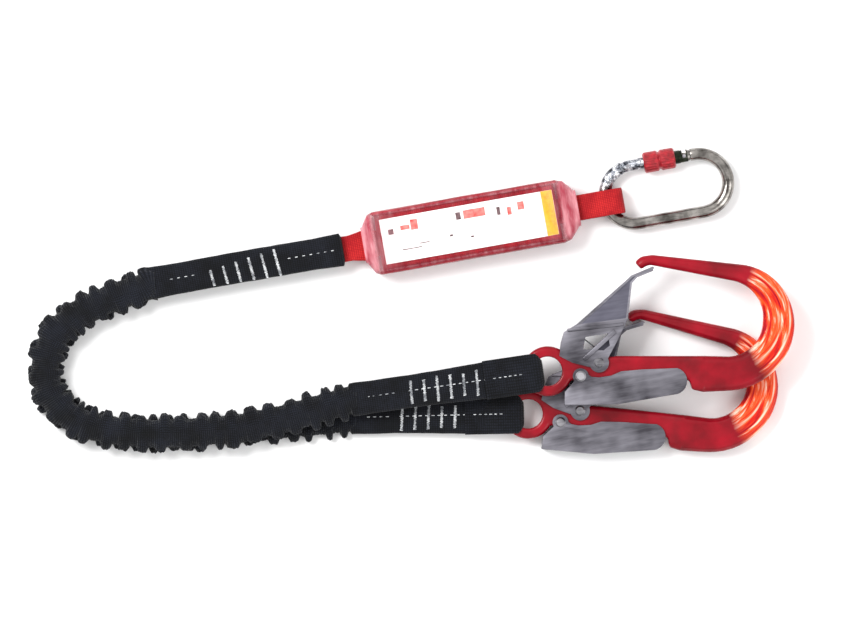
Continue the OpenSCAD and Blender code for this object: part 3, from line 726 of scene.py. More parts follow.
# ---------------------------------------------------------------- threads
@dataclass
class Stitching:
    """Stitches that share one mesh: bars of close threads and lines of single ones."""
    name: str
    thread: float = 0.75
    parts: list[tuple[Vector, Vector, float]] = field(default_factory=list)

    def stitch(self, a: Vector, b: Vector, thread: float | None = None) -> None:
        """Add one thread from a to b, in millimetres."""
        self.parts.append((a, b, thread or self.thread))

    def bar(self, centre: Vector, along: Vector, across: Vector, length: float, width: float,
            rng: random.Random) -> None:
        """Add a bar tack: close threads side by side, slightly uneven.

        Args:
            centre: the bar's middle.
            along: unit direction of the strap.
            across: unit direction across the strap.
            length: the bar's length across the strap.
            width: the bar's width along the strap.
            rng: seeded source of unevenness.
        """
        count = max(4, round(length / 0.95))
        for i in range(count):
            at = centre + across * (length * ((i + 0.5) / count - 0.5))
            lean = across * rng.uniform(-0.35, 0.35)
            half = along * (width / 2 * rng.uniform(0.75, 1.15))
            self.stitch(at - half - lean, at + half + lean, self.thread * rng.uniform(0.85, 1.1))

    def line(self, points: list[Vector], stitch: float, gap: float) -> None:
        """Add a line of running stitches.

        Args:
            points: the seam's points.
            stitch: length of a stitch.
            gap: space between stitches.
        """
        total = path_length(points)
        count = max(1, int(total // (stitch + gap)))
        ends = smooth_path([tuple(p) for p in points], 0.5)
        for i in range(count):
            a = ends[min(round(i * (stitch + gap) / 0.5), len(ends) - 1)]
            b = ends[min(round((i * (stitch + gap) + stitch) / 0.5), len(ends) - 1)]
            if (b - a).length > stitch * 0.5:
                self.stitch(a, b)

    def build(self) -> bpy.types.Object:
        """Make one mesh of six-sided threads with pointed ends.

        Returns:
            The stitches as one piece.
        """
        verts, faces = [], []
        for a, b, size in self.parts:
            along = (b - a).normalized()
            side = Vector((0, 0, 1)).cross(along).normalized()
            up = along.cross(side)
            base = len(verts)
            for share, swell in ((0.12, 0.8), (0.5, 1.0), (0.88, 0.8)):
                middle = a.lerp(b, share)
                for k in range(6):
                    angle = math.pi * k / 3
                    out = side * math.cos(angle) + up * math.sin(angle)
                    verts.append((middle + out * size / 2 * swell) * MM)
            verts.append(a * MM)
            verts.append(b * MM)
            for ring in (0, 6):
                for k in range(6):
                    n = (k + 1) % 6
                    faces.append((base + ring + k, base + ring + n, base + ring + 6 + n, base + ring + 6 + k))
            for k in range(6):
                n = (k + 1) % 6
                faces.append((base + n, base + k, base + 18))
                faces.append((base + 12 + k, base + 12 + n, base + 19))
        mesh = bpy.data.meshes.new(self.name)
        mesh.from_pydata(verts, [], faces)
        mesh.shade_smooth()
        return new_object(self.name, mesh)


# ---------------------------------------------------------------- elastic legs
@dataclass
class ElasticLeg:
    """One leg: tubular webbing gathered into ruffles over its elastic."""
    number: int
    route: list[tuple[float, float, float]]
    peak_w: float = 32.0
    valley_w: float = 22.0
    height: float = 10.9
    pitch: float = 14.6
    ring_step: float = 1.1
    sides: int = 44

    def swells(self, total: float, rng: random.Random) -> list[tuple[float, float, float, float, float]]:
        """Lay out the ruffles.

        Args:
            total: length of the leg in millimetres.
            rng: seeded source of unevenness.

        Returns:
            For each ruffle: its middle, its half length, its swell to the left and to the right, its lean.
        """
        result, at = [], 5.0
        while at < total:
            pitch = self.pitch * rng.uniform(0.78, 1.18)
            result.append((at, pitch * rng.uniform(0.24, 0.36), rng.uniform(0.6, 1.12),
                           rng.uniform(0.6, 1.12), rng.uniform(-4.5, 4.5)))
            at += pitch
        return result

    def build(self) -> bpy.types.Object:
        """Returns:
            The leg.
        """
        rng = random.Random(40 + self.number)
        path = smooth_path(self.route, self.ring_step)
        total = path_length(path)
        swells = self.swells(total, rng)

        def swell(at: float, side: float) -> float:
            """How far the webbing stands out at a place along one edge, from 0 in a valley to 1."""
            best = 0.0
            for middle, half, left, right, lean in swells:
                gap = abs(at - middle - lean * side * 0.5) / half
                if gap < 1:
                    size = left if side > 0 else right
                    best = max(best, size * (1 - gap ** 3.6) ** 0.8)
            return best

        def section(i: int, at: float) -> list[tuple[float, float]]:
            """Outline of the leg at one ring."""
            left, right = swell(at, 1.0), swell(at, -1.0)
            ends = min(1.0, at / 8.0, (total - at) / 8.0)
            outline = []
            for k in range(self.sides):
                a = 2 * math.pi * k / self.sides
                c, s = math.cos(a), math.sin(a)
                edge = left if c > 0 else right
                full = self.valley_w + (self.peak_w - self.valley_w) * edge * ends
                x = math.copysign(abs(c) ** 0.9, c) * full / 2
                tall = self.height * (0.84 + 0.12 * edge * abs(c))
                y = math.copysign(abs(s) ** 0.85, s) * tall / 2
                seed = Vector((at * 0.32, c * 4.2 + self.number * 9, s * 4.2))
                rough = sum(noise.noise(seed * finer) * share
                            for finer, share in ((1.0, 1.0), (2.7, 0.9), (6.1, 0.6)))
                outline.append((x + c * rough, y + s * rough * 0.55))
            return outline

        leg = sweep_mesh(f"leg_{self.number}_ruffled_webbing", path, section)
        settle(leg, "lanyard", "black_webbing", Finish.LEG_WEBBING,
               f"leg_{self.number}_webbing", f"leg_{self.number}_elastic_core")
        return leg


# ---------------------------------------------------------------- black sleeves
@dataclass
class AbsorberSleeves:
    """The two black sleeves sewn either side of the red tongue, with their bar tacks."""
    width: float = SLEEVE_W - 1.5
    height: float = SLEEVE_T
    bars: int = 6
    bar_pitch: float = 10.9
    first_bar: float = -215.5

    def sleeve(self, number: int, middle: float) -> bpy.types.Object:
        """Build one sleeve.

        Args:
            number: the leg's number.
            middle: height of its middle line.

        Returns:
            The sleeve.
        """
        path = smooth_path([(SLEEVE_X0 - 6, 0, middle), (-185, 0.4, middle), (SLEEVE_X1, 0, middle)], 1.6)
        total = path_length(path)

        def section(i: int, at: float) -> list[tuple[float, float]]:
            """Outline of the sleeve at one ring."""
            round_off = min(1.0, (total - at) / 3.0 + 0.72, at / 3.0 + 0.8)
            flare = 1.0 + 0.07 * max(0.0, 1 - (total - at) / 22.0) + 0.05 * max(0.0, 1 - at / 16.0)
            drift = 0.5 * noise.noise(Vector((at * 0.05, number * 3.0, 0)))
            wave = 0.28 * noise.noise(Vector((at * 0.3, number * 5.0, 2.0)))
            outline = flat_section(self.width * round_off * flare, self.height * round_off, 40, 4.5)
            pinch = 0.5 * max(0.0, math.cos(2 * math.pi * (path[i].x - self.first_bar) / self.bar_pitch)) \
                if self.first_bar - 3 < path[i].x < self.first_bar + self.bar_pitch * self.bars else 0.0
            return [(x + drift, y * (1 - 0.13 * pinch * (1 - abs(x) / self.width)) + wave)
                    for x, y in outline]

        sleeve = sweep_mesh(f"leg_{number}_sleeve_at_absorber", path, section)
        return settle(sleeve, "lanyard", "black_webbing", Finish.BLACK_WEBBING,
                      f"leg_{number}_absorber_sleeve")

    def stitches(self, top: float) -> bpy.types.Object:
        """Build the bar tacks and the running stitches on the upper sleeve.

        Args:
            top: height of the sleeve's upper face.

        Returns:
            The stitches.
        """
        rng = random.Random(11)
        threads = Stitching("absorber_end_bar_tacks")
        along, across = Vector((1, 0, 0)), Vector((0, 1, 0))
        for i in range(self.bars):
            length = 13.5 + 1.9 * i
            centre = Vector((self.first_bar + self.bar_pitch * i, -4.6 + 0.65 * i, top - 0.05))
            lean = (across + along * -0.1).normalized()
            threads.bar(centre, along, lean, length, 2.5, rng)
        for x0, x1 in ((-250, -224), (-152, -110)):
            threads.line([Vector((x0, 0.4, top)), Vector((x1, 0.4, top))], 2.6, 3.4)
        return settle(threads.build(), "lanyard", "thread", Finish.THREAD, "absorber_end_stitching")

    def build(self) -> None:
        """Build both sleeves and their stitches."""
        upper = TONGUE_Z0 + 2 * PLY + self.height / 2
        self.sleeve(1, upper)
        self.sleeve(2, TONGUE_Z0 - self.height / 2)
        self.stitches(upper + self.height / 2)


@dataclass
class HookSleeve:
    """Black sleeve from a leg to its hook, ending in a webbing loop through the hook's eye."""
    number: int
    start: tuple[float, float, float]
    eye: tuple[float, float, float]
    first_bar: float
    width: float = SLEEVE_W
    ply: float = 3.0
    neck: float = -42.0
    flare: float = 4.6
    in_eye_w: float = 20.5
    bars: int = 6
    bar_pitch: float = 10.9

    def __post_init__(self) -> None:
        """Work out the sleeve's own frame, with its origin at the eye and +X towards the hook."""
        dx, dy = self.eye[0] - self.start[0], self.eye[1] - self.start[1]
        self.length = math.hypot(dx, dy)
        self.drop = self.start[2] - self.eye[2]
        self.frame = Matrix.Translation(Vector(self.eye)) @ Matrix.Rotation(math.atan2(dy, dx), 4, "Z")

    def point(self, x: float, y: float, z: float) -> Vector:
        """A point of the sleeve's own frame in the model's frame, in millimetres."""
        return self.frame @ Vector((x, y, z))

    def height_at(self, x: float) -> float:
        """Height of the sleeve's middle line above the eye at a place along it."""
        return self.drop * rise(self.neck - x, 0.0, self.length + self.neck)

    def body(self) -> bpy.types.Object:
        """Build the sewn part of the sleeve, from the leg to where its plies part.

        Returns:
            The sleeve.
        """
        stops = [-self.length - 6, -self.length * 0.75, -self.length * 0.5, -60, self.neck, -30]
        path = smooth_path([tuple(self.point(x, 0, self.height_at(x))) for x in stops], 1.6)
        total = path_length(path)

        def section(i: int, at: float) -> list[tuple[float, float]]:
            """Outline of the sleeve at one ring."""
            left = total - at
            tall = SLEEVE_T + max(0.0, 1 - left / 18.0) * 6.0
            round_off = min(1.0, at / 3.0 + 0.8)
            wave = 0.3 * noise.noise(Vector((at * 0.25, self.number * 7.0, 1.0)))
            flare = self.flare * max(0.0, 1 - left / 70.0)
            uneven = 1 + 0.03 * noise.noise(Vector((at * 0.07, self.number, 4.0)))
            wide = (self.width + flare) * round_off * uneven
            return [(x, y + wave) for x, y in flat_section(wide, tall, 40, 4.5)]

        sleeve = sweep_mesh(f"leg_{self.number}_sleeve_at_hook", path, section)
        return settle(sleeve, "lanyard", "black_webbing", Finish.BLACK_WEBBING,
                      f"leg_{self.number}_hook_sleeve")

    def loop(self) -> bpy.types.Object:
        """Build the strap that leaves the sleeve, dives through the eye and comes back under it.

        Returns:
            The loop.
        """
        half, out, end = 2.4, 7.9, -4.9
        upper = [(-52, half), (-40, half + 0.6), (-31, 5.4), (-24, out), (-16, out + 0.1), (-9.5, out - 0.2),
                 (-6.0, 6.0), (end, 3.0)]
        outline = upper + [(end, 0.0)] + [(x, -z) for x, z in reversed(upper)]
        path = smooth_path([tuple(self.point(x, 0, z)) for x, z in outline], 1.0)
        side = (self.frame.to_3x3() @ Vector((0, 1, 0))).normalized()
        inverse = self.frame.inverted()

        def section(i: int, at: float) -> list[tuple[float, float]]:
            """Outline of the strap at one ring: it narrows where it goes through the eye."""
            x = (inverse @ path[i]).x
            narrow = rise(x, -9.5, 4.5) ** 2
            wide = (self.width + 4.8) * (1 - narrow) + self.in_eye_w * narrow
            return flat_section(wide, self.ply, 28, 5.0)

        strap = sweep_mesh(f"leg_{self.number}_eye_loop", path, section, side)
        return settle(strap, "lanyard", "black_webbing", Finish.BLACK_WEBBING)

    def stitches(self) -> bpy.types.Object:
        """Build the bar tacks and the middle line of running stitches.

        Returns:
            The stitches.
        """
        rng = random.Random(60 + self.number)
        threads = Stitching(f"leg_{self.number}_hook_end_tacks")
        turn = self.frame.to_3x3()
        across = (turn @ Vector((0, 1, 0))).normalized()
        top = SLEEVE_T / 2
        first = -self.length + self.first_bar
        for i in range(self.bars):
            x = first + self.bar_pitch * i
            centre = self.point(x, -1.0, self.height_at(x) + top - 0.05)
            ahead = self.point(x + 4, 0, self.height_at(x + 4))
            along = (ahead - self.point(x, 0, self.height_at(x))).normalized()
            lean = (across + along * 0.06).normalized()
            threads.bar(centre, along, lean, rng.uniform(17.0, 21.5), 2.6, rng)
        for y, x0, x1 in ((0.5, -self.length + 8, first - 6), (0.5, first - 2, -46.0)):
            seam = [self.point(x, y, self.height_at(x) + top + 0.05) for x in (x0, (x0 + x1) / 2, x1)]
            threads.line(seam, 2.8, 2.4)
        last = [self.point(x, 0.5, z)
                for x, z in ((-45, 4.3), (-38, 5.2), (-31, 7.1), (-24, 9.5), (-16, 9.6))]
        threads.line(last, 2.6, 1.8)
        return settle(threads.build(), "lanyard", "thread", Finish.THREAD,
                      f"leg_{self.number}_hook_stitching")

    def build(self) -> None:
        """Build the sleeve, its loop and its stitches."""
        self.body()
        self.loop()
        self.stitches()


# ---------------------------------------------------------------- absorber pack
@dataclass
class AbsorberPack:
    """The covered shock absorber: film, folded tear webbing, label and the red straps at its ends."""
    layers: int = 8
    fold_x0: float = -76.0
    fold_x1: float = 72.0
    fold_z0: float = 1.2
    fold_z1: float = 26.2
    fold_w: float = 49.6
    label_w: float = 37.0
    label_x0: float = -73.0
    label_x1: float = 70.5
    film_skin: float = 0.25
    edge_y: float = 22.0
    # each step of an end's neck: its share of the reach, and how far it draws in across and in height
    film_necks: tuple = ((0.45, 0.93, 0.86), (0.55, 0.63, 0.62), (0.12, 0.97, 0.95))
    # printed fields: middle along and across the card, length and width
    red_fields: tuple = ((4.8, 10.7, 18.0, 7.0), (33.5, 7.4, 3.4, 6.5), (43.4, 10.1, 5.4, 6.4),
                         (-45.2, 10.1, 6.0, 8.5), (-53.0, 8.9, 7.5, 3.6))
    grey_fields: tuple = ((-8.5, 10.5, 4.0, 6.0), (24.7, 8.9, 2.8, 6.6), (-65.0, 7.1, 4.4, 4.4),
                          (-50.0, -9.0, 16.0, 0.8), (-39.0, -6.0, 8.0, 0.8), (-16.6, -4.2, 2.6, 1.6),
                          (0.2, -8.0, 2.6, 1.4))

    def folded_webbing(self) -> bpy.types.Object:
        """Build the tear webbing, folded to and fro.

        Returns:
            The webbing.
        """
        step = (self.fold_z1 - self.fold_z0) / self.layers
        radius = step / 2
        points: list[tuple[float, float, float]] = []
        for i in range(self.layers):
            z = self.fold_z0 + step * (i + 0.5)
            xs = [self.fold_x0 + step, -40, 0, 40, self.fold_x1 - step]
            if i % 2:
                xs.reverse()
            points += [(x, 0.0, z) for x in xs]
            if i < self.layers - 1:
                out = radius if i % 2 == 0 else -radius
                points.append((xs[-1] + out, 0.0, z + radius))
        path = smooth_path(points, 1.2)
        middle, half = (self.fold_z0 + self.fold_z1) / 2, (self.fold_z1 - self.fold_z0) / 2

        def section(i: int, at: float) -> list[tuple[float, float]]:
            """Outline of one layer: the outermost layers are drawn in by the film."""
            off = min(1.0, abs(path[i].z - middle) / half)
            return flat_section(self.fold_w - 7.0 * off ** 5, step * 0.9, 16, 5.0)

        strap = sweep_mesh("folded_tear_webbing", path, section, Vector((0, 1, 0)))
        return settle(strap, "lanyard", "red_webbing", Finish.TEAR_WEBBING, "tear_webbing")

    def film(self) -> bpy.types.Object:
        """Shape the shrunk film: a box drawn in to a flat neck at each end.

        Returns:
            The film.
        """
        film = primitive(bpy.ops.mesh.primitive_cube_add, "shrunk_film_cover",
                         Vector(((PACK_X0 + PACK_X1) / 2, 0, PACK_H / 2)),
                         (PACK_X1 - PACK_X0, PACK_W, PACK_H))

        def pick_ends(*signs: int) -> None:
            """Select the face furthest towards each sign of x, and nothing else."""
            with editing():
                bpy.ops.mesh.select_mode(type="FACE")
                bpy.ops.mesh.select_all(action="DESELECT")
            for sign in signs:
                max(film.data.polygons, key=lambda f: f.center.x * sign).select = True

        for sign, reach in ((1, TAPER_HARNESS), (-1, TAPER_LEG)):
            for share, wide, tall in self.film_necks:
                pick_ends(sign)
                with editing():
                    bpy.ops.mesh.extrude_region_move(
                        TRANSFORM_OT_translate={"value": (sign * reach * share * MM, 0, 0)})
                    bpy.ops.transform.resize(value=(1, wide, tall))
        pick_ends(1, -1)
        with editing():
            bpy.ops.mesh.delete(type="FACE")
        add_modifier(film, "BEVEL", width=5.2 * MM, segments=5, limit_method="ANGLE",
                     angle_limit=math.radians(50))
        only(film)
        with editing():
            bpy.ops.mesh.select_all(action="SELECT")
            bpy.ops.mesh.subdivide(number_cuts=5)
        bunched = film.data.attributes.new("bunched", "FLOAT", "POINT")
        lying = film.data.attributes.new("edge", "FLOAT", "POINT")
        for vertex in film.data.vertices:
            x, y, z = vertex.co / MM
            over = max(x - PACK_X1, PACK_X0 - x)
            amount = rise(over, -1.0, 5.0)
            bunched.data[vertex.index].value = amount
            # along the long sides the film is made dark red: the webbing's red in painted shade, with lighter
            # lines of painted highlight
            near_edge = rise(abs(y), self.edge_y, 2.6)
            lying.data[vertex.index].value = near_edge * 0.92 * (1 - 0.7 * amount)
            pull = noise.noise(Vector((x * 0.04, y * 0.22, z * 0.3))) * (0.25 + 0.7 * amount)
            vertex.co.z += pull * 0.6 * MM if z > 3 else 0.0
            vertex.co.y += noise.noise(Vector((x * 0.06, 3.0, z * 0.1))) * 0.5 * MM
        add_modifier(film, "SOLIDIFY", thickness=self.film_skin * MM, offset=-1.0)
        film.data.shade_smooth()
        return settle(film, "lanyard", "clear_pvc", Finish.FILM, "clear_cover")

    def plate(self, name: str, middle: tuple[float, float, float], long: float, wide: float, thick: float,
              finish: Finish, *nodes: str) -> None:
        """Lay a thin printed plate with softened edges.

        Args:
            name: the piece's name.
            middle: the middle of its underside.
            long: its length along the pack.
            wide: its width.
            thick: its thickness.
            finish: its finish.
            nodes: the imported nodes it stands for.
        """
        plate = primitive(bpy.ops.mesh.primitive_plane_add, name, Vector(middle), (long, wide, 1.0))
        with editing():
            bpy.ops.mesh.select_all(action="SELECT")
            bpy.ops.mesh.extrude_region_move(TRANSFORM_OT_translate={"value": (0, 0, thick * MM)})
            bpy.ops.mesh.select_all(action="SELECT")
            bpy.ops.mesh.normals_make_consistent(inside=False)
        add_modifier(plate, "BEVEL", width=min(thick * 0.3, 0.15) * MM, segments=2)
        settle(plate, "lanyard", "label", finish, *nodes)

    def label(self) -> None:
        """Build the blank card, its yellow end and a few plain printed fields."""
        middle, length = (self.label_x0 + self.label_x1) / 2, self.label_x1 - self.label_x0
        self.plate("label_card_face", (middle, 0, self.fold_z1 + 0.05), length, self.label_w, 0.5,
                   Finish.CARD, "label_card")
        top = self.fold_z1 + 0.5
        yellow_x0, yellow_x1 = self.label_x1 - 9.5, self.label_x1 - 0.2
        self.plate("label_yellow_end", ((yellow_x0 + yellow_x1) / 2, 0, top), yellow_x1 - yellow_x0,
                   self.label_w - 0.2, 0.15, Finish.CARD_YELLOW)
        for kind, finish, fields in (("red", Finish.CARD_RED, self.red_fields),
                                     ("grey", Finish.CARD_GREY, self.grey_fields)):
            for i, (x, y, long, wide) in enumerate(fields):
                self.plate(f"label_{kind}_field_{i + 1}", (x, y, top), long, wide, 0.12, finish)

    def harness_loop(self) -> None:
        """Build the red loop that holds the carabiner, and its stitching."""
        low, high, tip = 2.0, 20.16, 126.4
        lower = [(56, 11.7), (80, 11.7), (90, 11.2), (98, 6.4), (105.4, 2.4), (114, low), (121.5, low),
                 (125.4, 4.2), (tip, 8.0)]
        upper = [(tip, 14.2), (125.4, 18.2), (121.5, high), (114, high), (105.4, 19.4), (98, 16.6),
                 (90, 14.2), (80, 13.9), (56, 13.9)]
        path = smooth_path([(x, 0.0, z) for x, z in lower + upper], 1.0)
        loop = sweep_mesh("red_harness_loop", path,
                          lambda i, at: flat_section(STRAP_W, PLY, 28, 5.5), Vector((0, 1, 0)))
        settle(loop, "lanyard", "red_webbing", Finish.RED_WEBBING, "harness_loop")
        threads = Stitching("harness_loop_tacks", 0.6)
        rng = random.Random(5)
        for i in range(3):
            threads.bar(Vector((77 + 3.6 * i, 0, 15.2)), Vector((1, 0, 0)), Vector((0, 1, 0)), 15.5, 1.6, rng)
        settle(threads.build(), "lanyard", "red_thread", Finish.RED_THREAD, "harness_loop_stitching")

    def leg_tongue(self) -> bpy.types.Object:
        """Build the red tongue that holds the legs.

        Returns:
            The tongue.
        """
        middle = TONGUE_Z0 + PLY
        path = smooth_path([(-60, 0, middle), (-88, 0, middle), (-106, 0, middle), (-128, 0, middle)], 1.2)

        def section(i: int, at: float) -> list[tuple[float, float]]:
            """Outline of the tongue: two plies, wider where it leaves the cover."""
            x = path[i].x
            spread = max(0.0, 1 - abs(x + 88) / 12.0)
            return flat_section(STRAP_W + 4.5 * spread, 2 * PLY, 28, 5.0)

        tongue = sweep_mesh("red_leg_tongue", path, section)
        return settle(tongue, "lanyard", "red_webbing", Finish.RED_WEBBING, "leg_tongue")

    def build(self) -> None:
        """Build the whole pack."""
        self.folded_webbing()
        self.label()
        self.film()
        self.harness_loop()
        self.leg_tongue()


# ---------------------------------------------------------------- carabiner
@dataclass
class Carabiner:
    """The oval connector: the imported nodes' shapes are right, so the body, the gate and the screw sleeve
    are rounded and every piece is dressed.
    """
    gate_at: tuple[float, float] = (27.0, 8.6)
    thread_r: float = 5.4

    def refine(self, node: str, body: str, slot: str, finish: Finish, edge: float) -> bpy.types.Object:
        """Copy a node, break its sharp edges and dress it.

        Args:
            node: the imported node.
            body: the body it moves with.
            slot: the record's material slot.
            finish: its finish.
            edge: width of the broken edge in millimetres.

        Returns:
            The new piece.
        """
        piece = copy_of_node(node, f"{node}_finished")
        break_edges(piece, edge, 2)
        return settle(piece, body, slot, finish, node)

    def thread(self, gate: bpy.types.Object) -> None:
        """Darken the oiled thread on the finished gate, where the screw sleeve runs."""
        gate.data.materials.append(Finish.THREAD_STEEL.value.material())
        for face in gate.data.polygons:
            at = face.center / MM
            off = math.hypot(at.y - self.gate_at[0], at.z - self.gate_at[1])
            if off > self.thread_r - 0.25 and abs(face.normal.x) < 0.5:
                face.material_index = 1

    def build(self) -> None:
        """Dress every piece of the carabiner."""
        self.refine("carabiner_body", "carabiner", "carabiner_steel", Finish.NICKEL, 0.25)
        self.thread(self.refine("carabiner_gate", "carabiner_gate", "carabiner_steel",
                                Finish.GATE_NICKEL, 0.2))
        self.refine("carabiner_screw_sleeve", "screw_sleeve", "sleeve_red", Finish.SCREW_RED, 0.3)
        keep_packed("carabiner", {"nose_pin": Finish.PIN, "hinge_pin": Finish.PIN,
                                  "gate_plunger": Finish.PIN, "gate_spring": Finish.WIRE})


# ---------------------------------------------------------------- scaffold hooks
@dataclass
class ScaffoldHook:
    """One large hook: forged body, pressed gate and lever, rivets and springs."""
    number: int
    eye: tuple[float, float, float]
    turn: float
    bow: tuple[float, float] = (149.0, 41.0)
    shank_t: float = 12.0
    bow_t: float = 15.0
    cheek_top: float = 8.0
    bow_r: float = 40.0
    voxel: float = 1.0
    # where the flat shank swells to the round bar, along the hook
    step: tuple[float, float] = (108.0, 128.0)
    # between which angles of the bow the highlight streaks are painted, in degrees
    bow_highlight: tuple[float, float] = (-66.0, 74.0)
    press_rim: float = 1.6
    press_depth: float = 0.35

    def local(self, point: Vector) -> Vector:
        """A point of the model's frame, in metres, in the hook's own frame in millimetres."""
        moved = point / MM - Vector(self.eye)
        return Matrix.Rotation(math.radians(-self.turn), 3, "Z") @ moved

    def bar_place(self, p: Vector) -> tuple[float, float]:
        """How far along the bar and how far off its middle line a place is, in millimetres."""
        x, y = p.x - self.bow[0], p.y - self.bow[1]
        if p.x < self.bow[0] and p.y < self.bow[1]:
            return p.x, p.y - 1.0
        if p.x < self.bow[0]:
            return self.bow[0] + math.pi * self.bow_r - x, self.bow_r - (y - 0.149 * x)
        return self.bow[0] + (math.atan2(y, x) + math.pi / 2) * self.bow_r, self.bow_r - math.hypot(x, y)

    def forging(self) -> bpy.types.Object:
        """Round the body over as a forging, give it a map along its bar and mark where the highlight is
        painted on its bow.

        Returns:
            The hook's body.
        """
        piece = copy_of_node(f"hook_{self.number}_body", f"hook_{self.number}_forging")
        add_modifier(piece, "REMESH", mode="VOXEL", voxel_size=self.voxel * MM, adaptivity=0.0)
        add_modifier(piece, "SMOOTH", factor=0.5, iterations=9)
        layer = piece.data.uv_layers.new(name="bar")
        # the attribute that marks where the highlight is painted on the bow, by its angle round the bow
        bow_highlight = piece.data.attributes.new("bow_highlight", "FLOAT", "POINT")
        places = []
        mid = self.eye[2] * MM
        for vertex in piece.data.vertices:
            p = self.local(vertex.co)
            if self.step[0] < p.x < self.step[1] and p.y < self.bow[1] / 2:
                share = rise(p.x, self.step[0], 18.5)
                tall = abs(p.z) * (1 + (self.bow_t / self.shank_t - 1) * share * share * (3 - 2 * share))
                vertex.co.z = mid + math.copysign(min(tall, self.bow_t / 2) * MM, p.z)
            places.append(self.bar_place(p))
            angle = math.degrees(math.atan2(p.y - self.bow[1], p.x - self.bow[0]))
            on_bow = rise(p.x, self.bow[0] + 2.0, 16.0)
            after_start, before_end = rise(angle, self.bow_highlight[0], 30.0), rise(-angle, -self.bow_highlight[1], 26.0)
            bow_highlight.data[vertex.index].value = on_bow * before_end * after_start
        for loop in piece.data.loops:
            along, across = places[loop.vertex_index]
            layer.data[loop.index].uv = (along * MM, across * MM)
        piece.data.shade_smooth()
        return settle(piece, f"hook_{self.number}", "hook_paint", Finish.LACQUER, f"hook_{self.number}_body")

    def emboss(self, piece: bpy.types.Object, start: tuple[float, float], end: tuple[float, float]) -> None:
        """Crease both cheeks along a line and press in what lies beyond it.

        Args:
            piece: the pressed piece.
            start: one end of the crease, in the hook's own frame.
            end: the other end of the crease.
        """
        turn = Matrix.Rotation(math.radians(self.turn), 3, "Z")
        a = turn @ Vector((*start, 0)) + Vector(self.eye)
        way = (turn @ Vector((end[0] - start[0], end[1] - start[1], 0))).normalized()
        cut = Vector((-way.y, way.x, 0))
        only(piece)
        with editing():
            bpy.ops.mesh.select_all(action="SELECT")
            bpy.ops.mesh.bisect(plane_co=a * MM, plane_no=cut)
            bpy.ops.mesh.select_mode(type="FACE")
            bpy.ops.mesh.select_all(action="DESELECT")
        for side in (1, -1):
            for face in piece.data.polygons:
                p = self.local(face.center)
                beyond = (face.center / MM - a).dot(cut) > 0
                face.select = beyond and face.normal.z * side > 0.9 and p.z * side > self.cheek_top - 0.3
            with editing():
                bpy.ops.mesh.inset(thickness=self.press_rim * MM, depth=-self.press_depth * MM)
                bpy.ops.mesh.select_all(action="DESELECT")

    def shade(self, piece: bpy.types.Object) -> None:
        """Paint shade on the pressed-in field of the gate with a darker copy of the plated finish."""
        piece.data.materials.append(Finish.PRESSED_DARK.value.material())
        for face in piece.data.polygons:
            p = self.local(face.center)
            inside = abs(self.cheek_top - self.press_depth - abs(p.z)) < 0.07
            face.material_index = 1 if inside and abs(face.normal.z) > 0.9 and p.y > 30 else 0

    def rib(self, name: str, start: tuple[float, float], end: tuple[float, float], width: float) -> None:
        """Lay a raised rib over the gate's window.

        Args:
            name: the rib's name.
            start: one end in the hook's own frame.
            end: the other end.
            width: its width.
        """
        turn = math.radians(self.turn)
        a, b = Vector((*start, 0)), Vector((*end, 0))
        middle = Matrix.Rotation(turn, 3, "Z") @ ((a + b) / 2 + Vector((0, 0, self.cheek_top + 0.45)))
        rib = primitive(bpy.ops.mesh.primitive_cube_add, name, middle + Vector(self.eye),
                        ((b - a).length, width, 1.1), turn + math.atan2(b.y - a.y, b.x - a.x))
        add_modifier(rib, "BEVEL", width=0.5 * MM, segments=3)
        only(rib)
        bpy.ops.object.shade_smooth_by_angle(angle=math.radians(40))
        settle(rib, f"hook_{self.number}_gate", "pressed_steel", Finish.PRESSED)

    def pressing(self, node: str, body: str) -> bpy.types.Object:
        """Round the edges of a pressed sheet piece.

        Args:
            node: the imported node.
            body: the body it moves with.

        Returns:
            The new piece.
        """
        piece = copy_of_node(node, f"{node}_pressing")
        if node.endswith("gate"):
            self.emboss(piece, (18.0, 36.0), (66.0, 42.0))
        break_edges(piece, 0.45, 3)
        return settle(piece, body, "pressed_steel", Finish.PRESSED, node)

    def build(self) -> None:
        """Build and dress the hook."""
        name = f"hook_{self.number}"
        self.forging()
        self.shade(self.pressing(f"{name}_gate", f"{name}_gate"))
        self.rib(f"{name}_gate_rib_long", (29.5, 9.5), (55.0, 33.0), 3.6)
        self.rib(f"{name}_gate_rib_cross", (16.0, 33.5), (62.0, 38.5), 2.6)
        self.pressing(f"{name}_lever", f"{name}_lever")
        keep_packed(name, {"gate_rivet": Finish.PIN, "lever_rivet": Finish.PIN,
                           "gate_spring": Finish.WIRE, "lever_spring": Finish.WIRE})


